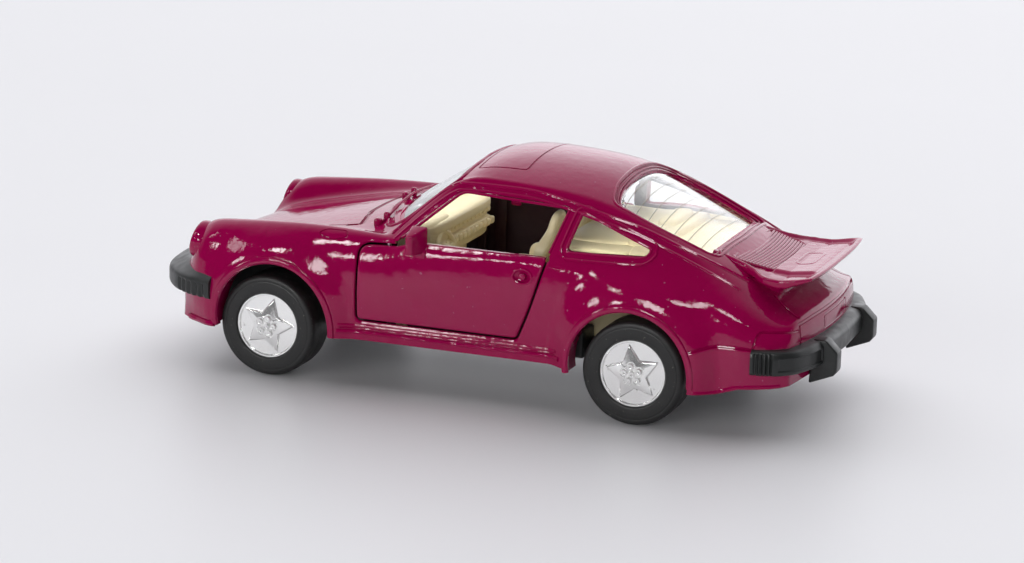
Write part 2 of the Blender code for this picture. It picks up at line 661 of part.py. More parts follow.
def empty(name, place):
    """An empty that carries the pieces of one moving group."""
    made = bpy.data.objects.new(name, None)
    made.empty_display_size = TYRE_RADIUS
    made.location = place
    bpy.data.collections["toy_car"].objects.link(made)
    return made


def body_solid(name, patch, density, inset, depth):
    """A patch of the body's outside, moved in by inset, as a solid that reaches down to a depth."""
    skin = body_surface(patch, density, inset)
    skin = np.pad(skin, ((1, 1), (1, 1), (0, 0)), mode="edge")
    skin[0, :, 2] = skin[-1, :, 2] = depth
    skin[:, 0, 2] = skin[:, -1, 2] = depth
    bm = bmesh.new()
    bmesh.ops.create_grid(bm, x_segments=skin.shape[1] - 1, y_segments=skin.shape[0] - 1, size=1.0)
    for vertex, place in zip(bm.verts, skin.reshape(-1, 3)):
        vertex.co = place
    bmesh.ops.remove_doubles(bm, verts=bm.verts, dist=1e-7)
    rim = [edge for edge in bm.edges if edge.is_boundary]
    bmesh.ops.edgeloop_fill(bm, edges=rim)
    return mesh_object(name, bm)


def outer_solid(name="outer", inset=0.0):
    """The outside of the body as a solid; a negative inset stands off it."""
    return body_solid(name, WHOLE_BODY, OUTER_DENSITY, inset, SKIRT_DEPTH)


def inner_solid(name, inset):
    """The space inside the body at a depth below its surface."""
    return body_solid(name, WHOLE_BODY, INNER_DENSITY, inset, 2 * SKIRT_DEPTH)


def cabin_solid(name, density, inset, depth):
    """The space under the roof and between the belts at a depth below the surface."""
    return body_solid(name, CABIN_ROOF, density, inset, depth)


def hinge_place(side):
    """A door hinge's axis in plan."""
    door_front = float(along(DOOR_OUTLINE[0][0]))
    return side * (WAIST_HALF_WIDTH - HINGE_INSET), door_front + HINGE_SETBACK


def lamp_axis():
    """The way both headlamps face."""
    return Vector((0.0, -math.cos(LAMP_TILT), math.sin(LAMP_TILT)))


def lamp_place(side):
    """The middle of a headlamp's rim."""
    x, s, z = LAMP_CENTRE
    return point(side * x, s, z)


def bumper_peg(side, s, length, lift):
    """Both ends of a peg that holds a bumper in the body; its length is signed along Y."""
    start = Vector((side * float(out(BUMPER_PEG_X)), float(along(s)), lift + BUMPER_HEIGHT / 2))
    return start, start + Vector((0.0, length, 0.0))


def peg_holes(body):
    """Drill the holes for the bumper pegs and the spoiler pegs."""
    radius = PEG_RADIUS + PEG_FIT
    for side in (-1, 1):
        pegs = [
            bumper_peg(side, *FRONT_PEG, FRONT_BUMPER_LIFT),
            bumper_peg(side, *REAR_PEG, REAR_BUMPER_LIFT),
            spoiler_peg(side),
        ]
        for start, end in pegs:
            beyond = (end - start).normalized() * PEG_HOLE_REACH
            cut(body, cylinder("peg_hole", radius, start, end + beyond, 12))


def spoiler_peg(side):
    """A peg under the spoiler, straight down through the engine lid."""
    x, s, z = SPOILER_PEG
    top = point(side * x, s, z)
    return top, top - Vector((0.0, 0.0, SPOILER_PEG_LENGTH))


def make_body(outer, core):
    """The painted shell with its openings, posts, hinge lugs and lamp buckets.

    What is added inside ends in the middle of the wall, where the core's surface is.
    """
    body = copy_of(outer, "body_shell")
    cut(body, inner_solid("cavity", WALL))
    far = 2 * WAIST_HALF_WIDTH
    below = [(float(along(s)), 3 * SKIRT_DEPTH) for s in (RIM_LINE[-1][0], RIM_LINE[0][0])]
    cut(body, prism("rim_trim", side_outline(RIM_LINE) + below, -far, far, "X"))
    across = Vector((far, 0.0, 0.0))
    for centre, radius in ((FRONT_ARCH_CENTRE, FRONT_ARCH_RADIUS), (REAR_ARCH_CENTRE, REAR_ARCH_RADIUS)):
        middle = point(0, *centre)
        cut(body, cylinder("arch", radius, middle - across, middle + across, 36))
    cut(body, prism("door_hole", side_outline(DOOR_OUTLINE), -far, far, "X"))
    cut(body, prism("door_window_hole", side_outline(DOOR_WINDOW), -far, far, "X"))
    cut(body, prism("quarter_hole", side_outline(QUARTER_WINDOW), -far, far, "X"))
    for outline, ends in ((WINDSCREEN, WINDSCREEN_CUT), (REAR_WINDOW, REAR_WINDOW_CUT)):
        front, back = (float(along(s)) for s in ends)
        cut(body, prism("screen_hole", front_outline(outline), front, back, "Y"))
    add_posts(body, core)
    add_hinge_lugs(body, core)
    add_lamp_buckets(body, core)
    peg_holes(body)
    return finish(body, PAINT)


def add_posts(body, core):
    """Two posts from the roof of the shell down to the base, bored for the screws."""
    for s in SCREW_PLACES.values():
        foot = Vector((0.0, float(along(s)), BASE_TOP + PIECE_GAP))
        head = foot + Vector((0.0, 0.0, ROOF_HEIGHT))
        post = cylinder("post", POST_RADIUS, foot, head, 16)
        common(post, core, keep=True)
        join(body, post)
        top = foot + Vector((0.0, 0.0, SCREW_LENGTH))
        under = foot - Vector((0.0, 0.0, POST_RADIUS))
        cut(body, cylinder("pilot", SCREW_SHANK_RADIUS + HINGE_FIT, under, top, 12))


def add_hinge_lugs(body, core):
    """The seats of the hinge pins: one on the sill and one under the cowl, on each side."""
    sill_top = float(up(DOOR_OUTLINE[0][1])) - DOOR_GAP
    for side in (-1, 1):
        x, y = hinge_place(side)
        low = RIM_HEIGHT + PIECE_GAP
        ledge_ends = sorted((side * (abs(x) - HINGE_LUG_RADIUS), side * WAIST_HALF_WIDTH))
        ledge = box("ledge", (ledge_ends[0], y - 2 * HINGE_LUG_RADIUS, low),
                    (ledge_ends[1], y + 2 * HINGE_LUG_RADIUS, sill_top))
        common(ledge, core, keep=True)
        join(body, ledge)
        seat = cylinder("seat", HINGE_LUG_RADIUS, (x, y, hinge_seat_bottom()), (x, y, ROOF_HEIGHT), 12)
        common(seat, core, keep=True)
        join(body, seat)
        start, end = pin_ends(side)
        slack = Vector((0.0, 0.0, HINGE_FIT))
        cut(body, cylinder("pin_hole", HINGE_PIN_RADIUS + HINGE_FIT, start - slack, end + slack, 12))


def hinge_seat_bottom():
    """The height of the upper hinge seat's lower face."""
    return float(up(DOOR_OUTLINE[5][1])) - SEAT_DROP_RATIO * HINGE_BOSS_RADIUS


def pin_ends(side):
    """Both ends of a hinge pin, inside its two seats."""
    x, y = hinge_place(side)
    low = RIM_HEIGHT + 3 * PIECE_GAP
    high = float(up(DOOR_OUTLINE[5][1])) + PIECE_GAP
    return Vector((x, y, low)), Vector((x, y, high))


def add_lamp_buckets(body, core):
    """Round pockets for the headlamp lenses, with a floor behind each."""
    axis = lamp_axis()
    depth = 2 * WALL
    for side in (-1, 1):
        place = lamp_place(side)
        bucket = cylinder("bucket", LAMP_RADIUS + WALL, place - axis * (depth + WALL), place, 24)
        common(bucket, core, keep=True)
        join(body, bucket)
        floor = place - axis * LENS_DEPTH
        cut(body, cylinder("pocket", LAMP_RADIUS + PIECE_GAP, floor, place + axis * depth * 3, 24))


def make_lens(side, name):
    """A domed clear headlamp lens in its pocket."""
    back = PIECE_GAP - LENS_DEPTH
    profile = [(ratio * LAMP_RADIUS, height) for ratio, height in LENS_PROFILE]
    profile += [(LAMP_RADIUS, back), (0.0, back)]
    lens = turned(name, profile, 20)
    faced(lens, lamp_place(side), lamp_axis())
    return finish(lens, CLEAR)


def make_doors(outer, core):
    """Both doors, cut from the same skin as the body, each with its hinge boss and its mirror."""
    gaps = [DOOR_GAP] * len(DOOR_OUTLINE)
    gaps[-1] = gaps[-2] = DOOR_FRONT_GAP
    outline = shrunk(side_outline(DOOR_OUTLINE), gaps)
    door = copy_of(outer, "door_left")
    common(door, prism("door_slice", outline, 0.7 * WAIST_HALF_WIDTH, 1.3 * WAIST_HALF_WIDTH, "X"))
    cut(door, inner_solid("door_inside", DOOR_WALL))
    x, y = hinge_place(1)
    low = float(up(DOOR_OUTLINE[0][1])) + DOOR_GAP
    high = hinge_seat_bottom() - PIECE_GAP
    half_web = HINGE_WEB_RATIO * HINGE_BOSS_RADIUS
    web = box("web", (x, y - half_web, low + PIECE_GAP),
              (WAIST_HALF_WIDTH, y + half_web, high - HINGE_BOSS_RADIUS))
    common(web, core, keep=True)
    join(door, web)
    join(door, cylinder("boss", HINGE_BOSS_RADIUS, (x, y, low), (x, y, high), 16))
    relief_low = high + PIECE_GAP / 2
    cut(door, cylinder("relief", HINGE_RELIEF_RADIUS, (x, y, relief_low), (x, y, ROOF_HEIGHT), 16))
    cut(door, cylinder("bore", HINGE_PIN_RADIUS + HINGE_FIT, (x, y, 0.0), (x, y, ROOF_HEIGHT), 12))
    join(door, make_mirror(1))
    right = other_hand(door, "door_right")
    finish(door, PAINT, origin=(x, y, low))
    finish(right, PAINT, origin=(-x, y, low))


def make_mirror(side):
    """A rounded mirror head on a short foot that sinks into the door's skin."""
    x, s, z = MIRROR_PLACE
    place = point(side * x, s, z)
    half = Vector(MIRROR_SIZE) / 2
    head = rounded(box("mirror_head", place - half, place + half), MIRROR_ROUNDING, 2)
    inner = side * (WAIST_HALF_WIDTH - SEAT_DROP_RATIO * DOOR_WALL)
    ends = sorted((inner, place.x))
    half_foot = half.y * MIRROR_FOOT_RATIO
    foot = box("mirror_foot", (ends[0], place.y - half_foot, place.z - half.z - 2 * DOOR_WALL),
               (ends[1], place.y + half_foot, place.z - half.z * MIRROR_FOOT_RATIO))
    return join(head, foot)


def make_hinge_pin(side, name):
    """The steel pin that a door swings on."""
    start, end = pin_ends(side)
    return finish(cylinder(name, HINGE_PIN_RADIUS, start, end, 12), STEEL)


def make_glazing():
    """One clear moulding under the roof, open at the door windows."""
    outside = WALL + GLASS_GAP
    far = 2 * WAIST_HALF_WIDTH
    glazing = inner_solid("glazing", outside)
    common(glazing, prism("greenhouse", side_outline(GREENHOUSE), -far, far, "X"))
    cut(glazing, cabin_solid("cabin_air", CABIN_DENSITY, outside + GLASS_THICKNESS, 2 * SKIRT_DEPTH))
    cut(glazing, prism("door_gap", side_outline(GLASS_DOOR_GAP), -far, far, "X"))
    return finish(glazing, CLEAR)


def seat_blocks(side):
    """The cushion, backrest and headrest of one front seat, leaning back."""
    middle = side * SEAT_SPACING
    half = SEAT_WIDTH / 2
    floor = BASE_TOP + PIECE_GAP + TUB_FLOOR / 2
    front, back, top = CUSHION
    blocks = [box("cushion", (middle - half, float(along(front)), floor),
                  (middle + half, float(along(back)), float(up(top))))]
    lean = Matrix.Rotation(-SEAT_LEAN, 4, "X")
    place = Matrix.Translation(point(0.0, *SEAT_PLACE))
    for ratio, y_low, y_high, z_low, z_high in (SEAT_BACK, HEADREST):
        block = box("block", (middle - half * ratio, y_low, z_low), (middle + half * ratio, y_high, z_high))
        rounded(block, SEAT_ROUNDING)
        block.data.transform(place @ lean)
        blocks.append(block)
    return blocks


def across_block(half_width, s_low, s_high, z_low, z_high):
    """A block on both sides of the middle: plan half width and ends, heights in metres."""
    half = float(out(half_width))
    return box("block", (-half, float(along(s_low)), z_low), (half, float(along(s_high)), z_high))


def make_tub():
    """The cream moulding: floor, footwell wall, seats, rear bench and shelf."""
    floor = BASE_TOP + PIECE_GAP
    top = floor + TUB_FLOOR
    tub = across_block(*FLOOR_ENDS, floor, top)
    tub.name = "interior_tub"
    join(tub, across_block(*FOOTWELL_ENDS, floor + TUB_FLOOR / 8, top - TUB_FLOOR / 8))
    for half_width, s_low, s_high, z_low, z_high in (FOOT_WALL, BENCH_FRONT, *BENCH_BLOCKS):
        join(tub, across_block(half_width, s_low, s_high, float(up(z_low)), float(up(z_high))))
    bench_low = AXLE_HEIGHT + AXLE_RADIUS + BEARING_WALL + PIECE_GAP
    half_width, s_low, s_high, z_high = BENCH_ENDS
    join(tub, across_block(half_width, s_low, s_high, bench_low, float(up(z_high))))
    s_low, s_high, z_high = TUNNEL_ENDS
    join(tub, box("tunnel", (-TUNNEL_HALF_WIDTH, float(along(s_low)), top - TUB_FLOOR / 2),
                  (TUNNEL_HALF_WIDTH, float(along(s_high)), float(up(z_high)))))
    s_low, s_high, z_high = SILL_ENDS
    for side in (-1, 1):
        low, high = sorted((side * TUB_HALF_WIDTH, side * (TUB_HALF_WIDTH - TUB_WALL)))
        join(tub, box("sill", (low, float(along(s_low)), floor + TUB_FLOOR / 6),
                      (high, float(along(s_high)), float(up(z_high)))))
        for block in seat_blocks(side):
            join(tub, block)
    return finish(tub, CREAM)


def make_dashboard():
    """The dashboard with its instrument hood, bored for the steering column."""
    front, back, low, high = DASH_ENDS
    dash = box("dashboard", (-DASH_HALF_WIDTH, float(along(front)), float(up(low)) + PIECE_GAP),
               (DASH_HALF_WIDTH, float(along(back)), float(up(high))))
    rounded(dash, DASH_ROUNDING)
    front, back, low, high = DASH_HOOD_ENDS
    x = float(out(STEERING_PLACE[0]))
    hood = box("hood", (x - DASH_HOOD_HALF_WIDTH, float(along(front)), float(up(low))),
               (x + DASH_HOOD_HALF_WIDTH, float(along(back)), float(up(high))))
    join(dash, rounded(hood, DASH_ROUNDING))
    start, end = column_ends()
    reach = (end - start).normalized() * PIECE_GAP
    cut(dash, cylinder("column_hole", COLUMN_RADIUS + PIECE_GAP, start, end + reach, 12))
    return finish(dash, CREAM)


def column_ends():
    """The steering column, from the wheel's hub into the dashboard."""
    place = point(*STEERING_PLACE)
    axis = Vector((0.0, -math.cos(STEERING_TILT), -math.sin(STEERING_TILT)))
    return place, place + axis * COLUMN_LENGTH


def make_steering_wheel():
    """A thin rim on three spokes and a hub, with its column."""
    place, end = column_ends()
    axis = (place - end).normalized()
    ring = [(STEERING_RADIUS + STEERING_RIM * math.sin(a), STEERING_RIM * math.cos(a))
            for a in np.linspace(0.0, 2 * math.pi, 7)[:-1]]
    wheel = turned("steering_wheel", ring, 24)
    faced(wheel, place, axis)
    hub_radius, half_hub = STEERING_HUB
    join(wheel, cylinder("hub", hub_radius, place - axis * half_hub, place + axis * half_hub, 12))
    join(wheel, cylinder("column", COLUMN_RADIUS, place, end, 12))
    sideways = Vector((1.0, 0.0, 0.0))
    upward = axis.cross(sideways).normalized()
    for angle in SPOKE_ANGLES:
        spoke = sideways * math.cos(angle) + upward * math.sin(angle)
        inner = place + spoke * hub_radius / 2
        join(wheel, cylinder("spoke", SPOKE_RADIUS, inner, place + spoke * STEERING_RADIUS, 8))
    return finish(wheel, CREAM)


def bearing_end(half_track):
    """How far out a bearing reaches: short of the wheel's inner face."""
    return half_track - TYRE_WIDTH - BEARING_END_GAP


def add_bearings(base, y, half_track):
    """Two bearing blocks on the base for one axle, bored in line."""
    outer = bearing_end(half_track)
    half_height = AXLE_RADIUS + BEARING_WALL
    for side in (-1, 1):
        low, high = sorted((side * BEARING_INNER_X, side * outer))
        block = box("bearing", (low, y - BEARING_HALF_LENGTH, AXLE_HEIGHT - half_height),
                    (high, y + BEARING_HALF_LENGTH, AXLE_HEIGHT + half_height))
        join(base, rounded(block, BEARING_ROUNDING))
    reach = Vector((outer + WALL, 0.0, 0.0))
    middle = Vector((0.0, y, AXLE_HEIGHT))
    cut(base, cylinder("bore", AXLE_RADIUS + BEARING_FIT, middle - reach, middle + reach, 16))


def make_base():
    """The floor plate with its axle bearings, sill stops and screw holes."""
    base = prism("base_plate", plan_outline(BASE_PLAN), BASE_CLEARANCE, BASE_TOP, "Z")
    add_bearings(base, FRONT_AXLE_Y, FRONT_HALF_TRACK)
    add_bearings(base, REAR_AXLE_Y, REAR_HALF_TRACK)
    front, back, top = STOP_PLACE
    for side in (-1, 1):
        low, high = sorted((side * STOP_ENDS[0], side * STOP_ENDS[1]))
        join(base, box("stop", (low, float(along(front)), BASE_TOP - BASE_THICKNESS / 4),
                       (high, float(along(back)), float(up(top)))))
    for s in SCREW_PLACES.values():
        y = float(along(s))
        cut(base, cylinder("hole", SCREW_SHANK_RADIUS + BEARING_FIT, (0, y, 0), (0, y, 2 * BASE_TOP), 12))
    return finish(base, BLACK)


def make_screw(name, s):
    """A cross-head screw from below the base into a post of the body."""
    y = float(along(s))
    seat = BASE_CLEARANCE - PIECE_GAP / 3
    bottom = seat - SCREW_HEAD_HEIGHT
    middle = bottom + SCREW_HEAD_HEIGHT / 2
    screw = cylinder(name, SCREW_HEAD_RADIUS, (0, y, bottom), (0, y, seat), 16)
    join(screw, cylinder("shank", SCREW_SHANK_RADIUS, (0, y, middle), (0, y, seat + SCREW_LENGTH), 12))
    for half_x, half_y in (SCREW_SLOT, SCREW_SLOT[::-1]):
        cut(screw, box("slot", (-half_x, y - half_y, 0.0), (half_x, y + half_y, middle)))
    return finish(screw, STEEL)


def bumper_bar(name, plan, lift, stand_off):
    """A bar of the plan's outline outside the body, with soft edges."""
    bar = prism(name, plan_outline(plan), lift, lift + BUMPER_HEIGHT, "Z")
    rounded(bar, BUMPER_ROUNDING)
    return cut(bar, stand_off, keep=True)


def make_bumpers(stand_off):
    """Both bumpers; each is held by two pegs, and the rear one carries two overriders."""
    front = bumper_bar("front_bumper", FRONT_BUMPER_PLAN, FRONT_BUMPER_LIFT, stand_off)
    rear = bumper_bar("rear_bumper", REAR_BUMPER_PLAN, REAR_BUMPER_LIFT, stand_off)
    for side in (-1, 1):
        front_peg = bumper_peg(side, *FRONT_PEG, FRONT_BUMPER_LIFT)
        rear_peg = bumper_peg(side, *REAR_PEG, REAR_BUMPER_LIFT)
        join(front, cylinder("peg", PEG_RADIUS, *front_peg, 12))
        join(rear, cylinder("peg", PEG_RADIUS, *rear_peg, 12))
        s_low, z_low, z_high = OVERRIDER_ENDS
        x = side * float(out(OVERRIDER_X))
        half = OVERRIDER_WIDTH / 2
        rider = box("overrider", (x - half, float(along(s_low)), float(up(z_low))),
                    (x + half, LENGTH / 2, float(up(z_high))))
        join(rear, rounded(rider, OVERRIDER_ROUNDING, 2))
    return finish(front, BLACK), finish(rear, BLACK)


def make_spoiler(stand_off):
    """The whale tail: a wedge on the engine lid with a sunken tray and a raised lip."""
    wide = 2 * WAIST_HALF_WIDTH
    spoiler = prism("rear_spoiler", plan_outline(SPOILER_PLAN), 0.0, ROOF_HEIGHT, "Z")
    common(spoiler, prism("profile", side_outline(SPOILER_PROFILE), -wide, wide, "X"))
    tray = prism("tray", plan_outline(TRAY_PLAN), 0.0, ROOF_HEIGHT, "Z")
    common(tray, prism("tray_floor", side_outline(TRAY_FLOOR), -wide, wide, "X"))
    cut(spoiler, tray)
    cut(spoiler, stand_off, keep=True)
    for side in (-1, 1):
        start, end = spoiler_peg(side)
        join(spoiler, cylinder("peg", PEG_RADIUS, start, end, 12))
    return finish(spoiler, PAINT)


def star_outline(reach, waist):
    """A star's corners, tips and hollows in turn."""
    corners = []
    for step in range(2 * STAR_POINTS):
        radius = reach if step % 2 == 0 else waist
        angle = math.pi / 2 + math.pi * step / STAR_POINTS
        corners.append((radius * math.cos(angle), radius * math.sin(angle)))
    return corners


def make_hub(name, side, half_track, parent):
    """A bright wheel with a lip, a sunken face and a five-point star, bored for the axle."""
    depth = TYRE_WIDTH - PIECE_GAP
    boss_top, boss_foot, boss_height = HUB_BOSS
    face = -SIDEWALL_BULGE
    floor = -HUB_DISH
    profile = [(0.0, floor + boss_height), (boss_top, floor + boss_height), (boss_foot, floor),
               (RIM_RADIUS - 2 * HUB_LIP, floor), (RIM_RADIUS - HUB_LIP, face), (RIM_RADIUS, face),
               (RIM_RADIUS, -depth), (0.0, -depth)]
    hub = turned(name, profile, 24, half_step=True)
    corners = star_outline(RIM_RADIUS - HUB_LIP, STAR_WAIST)
    join(hub, prism("star", corners, floor - STAR_DROP, -STAR_DROP, "Z"))
    cut(hub, cylinder("axle_hole", AXLE_RADIUS + AXLE_FIT, (0, 0, -2 * depth), (0, 0, -depth / 3), 16))
    place = Vector((side * half_track, 0.0, 0.0)) + parent.location
    faced(hub, place, (side, 0.0, 0.0))
    return finish(hub, CHROME, origin=place, parent=parent)


def make_tyre(name, side, half_track, parent):
    """A plain rubber ring with a full sidewall and soft shoulders."""
    bore = RIM_RADIUS + RIM_FIT
    crown = TYRE_RADIUS
    middle = (2 * crown + bore) / 3
    back = -TYRE_WIDTH
    step = TYRE_SHOULDER
    profile = [(bore, -SIDEWALL_BULGE), (middle, SIDEWALL_BULGE), (crown - step / 2, -step / 3),
               (crown, -step), (crown, back + step), (crown - step / 2, back + step / 4), (bore, back)]
    tyre = turned(name, profile, TYRE_SIDES, half_step=True)
    place = Vector((side * half_track, 0.0, 0.0)) + parent.location
    faced(tyre, place, (side, 0.0, 0.0))
    return finish(tyre, RUBBER, origin=place, parent=parent)


def make_wheel_set(end, y, half_track):
    """An axle with both of its wheels, carried by an empty on the axle's line."""
    roll = empty(f"{end}_axle_roll", (0.0, y, AXLE_HEIGHT))
    reach = half_track - TYRE_WIDTH / 3 - PIECE_GAP
    axle = cylinder(f"{end}_axle", AXLE_RADIUS, (-reach, y, AXLE_HEIGHT), (reach, y, AXLE_HEIGHT), 16)
    finish(axle, STEEL, origin=roll.location, parent=roll)
    for side, hand in ((1, "left"), (-1, "right")):
        make_hub(f"wheel_hub_{end}_{hand}", side, half_track, roll)
        make_tyre(f"tyre_{end}_{hand}", side, half_track, roll)


def main():
    """Build the car."""
    clear_scene()
    new_collection("toy_car")
    cutters = new_collection("cutters")
    outer = outer_solid()
    stand_off = outer_solid("stand_off", -PIECE_GAP)
    core = inner_solid("core", WALL / 2)
    make_body(outer, core)
    make_doors(outer, core)
    for side, hand in ((1, "left"), (-1, "right")):
        make_hinge_pin(side, f"door_hinge_pin_{hand}")
        make_lens(side, f"headlamp_lens_{hand}")
    make_glazing()
    make_tub()
    make_dashboard()
    make_steering_wheel()
    make_base()
    for end, s in SCREW_PLACES.items():
        make_screw(f"base_screw_{end}", s)
    make_bumpers(stand_off)
    make_spoiler(stand_off)
    make_wheel_set("front", FRONT_AXLE_Y, FRONT_HALF_TRACK)
    make_wheel_set("rear", REAR_AXLE_Y, REAR_HALF_TRACK)
    for tool in list(cutters.objects):
        bpy.data.objects.remove(tool, do_unlink=True)


main()
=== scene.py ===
"""Looks of a die-cast toy coupe: enamel, plating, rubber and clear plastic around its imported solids.

Sizes are millimetres on the car's lines plan: x out from the middle, s behind the front axle, z up from
the floor. The frame says where the front axle lies, and with it where the plan lies in metres.
"""

from __future__ import annotations

import json
import logging
import math
from collections.abc import Sequence
from dataclasses import dataclass
from enum import Enum

import bmesh
import bpy
import numpy as np
from mathutils import Matrix, Vector

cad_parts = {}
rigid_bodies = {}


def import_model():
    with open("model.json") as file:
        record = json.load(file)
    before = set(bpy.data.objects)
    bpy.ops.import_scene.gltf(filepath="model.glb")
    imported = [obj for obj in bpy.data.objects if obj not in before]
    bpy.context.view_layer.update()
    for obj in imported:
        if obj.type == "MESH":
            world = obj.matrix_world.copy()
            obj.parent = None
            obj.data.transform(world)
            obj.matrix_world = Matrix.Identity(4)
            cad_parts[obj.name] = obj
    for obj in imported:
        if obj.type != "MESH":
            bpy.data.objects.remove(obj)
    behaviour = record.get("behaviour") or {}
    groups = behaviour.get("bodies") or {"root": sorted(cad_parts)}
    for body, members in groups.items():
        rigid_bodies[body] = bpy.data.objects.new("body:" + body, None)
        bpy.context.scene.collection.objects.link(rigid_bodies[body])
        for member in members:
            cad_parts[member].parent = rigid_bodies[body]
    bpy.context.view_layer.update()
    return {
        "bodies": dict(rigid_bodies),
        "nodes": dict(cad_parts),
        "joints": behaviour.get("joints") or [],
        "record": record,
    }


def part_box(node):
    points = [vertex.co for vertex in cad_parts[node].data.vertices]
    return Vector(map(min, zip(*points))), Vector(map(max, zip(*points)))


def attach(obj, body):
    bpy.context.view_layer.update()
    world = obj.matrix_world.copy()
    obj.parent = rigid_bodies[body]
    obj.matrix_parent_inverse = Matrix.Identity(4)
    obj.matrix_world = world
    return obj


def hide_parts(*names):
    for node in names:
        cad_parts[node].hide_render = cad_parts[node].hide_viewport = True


MM = 0.001
MIRROR = np.array([-1.0, 1.0, 1.0])
LOG = logging.getLogger("toy_car")

Array = np.ndarray
Material = bpy.types.Material
Object = bpy.types.Object
Socket = bpy.types.NodeSocket
Pair = tuple[float, float]
Triple = tuple[float, float, float]
Points = Sequence[tuple[float, ...]]
Station = tuple[float, float, tuple[float, ...], tuple[float, ...]]
Block = tuple[Triple, Triple, float]


class Slot(Enum):
    """Material slots of the record."""

    PAINT = "paint"
    GLAZING = "glazing"
    CREAM = "cream_plastic"
    BLACK = "black_plastic"
    STEEL = "steel"
    PLATING = "bright_plating"
    RUBBER = "rubber"


class Rider(Enum):
    """Bodies of the frame that pieces ride on."""

    BODY = "body"
    LEFT_DOOR = "left_door"
    RIGHT_DOOR = "right_door"
    FRONT_WHEELS = "front_wheels"
    REAR_WHEELS = "rear_wheels"


class View(Enum):
    """Directions that an outline is drawn in, as the two axes that it gives."""

    SIDE = (1, 2)
    PLAN = (0, 1)
    END = (0, 2)


Zone = tuple[View, tuple[str, str], Pair]


# Lines plan

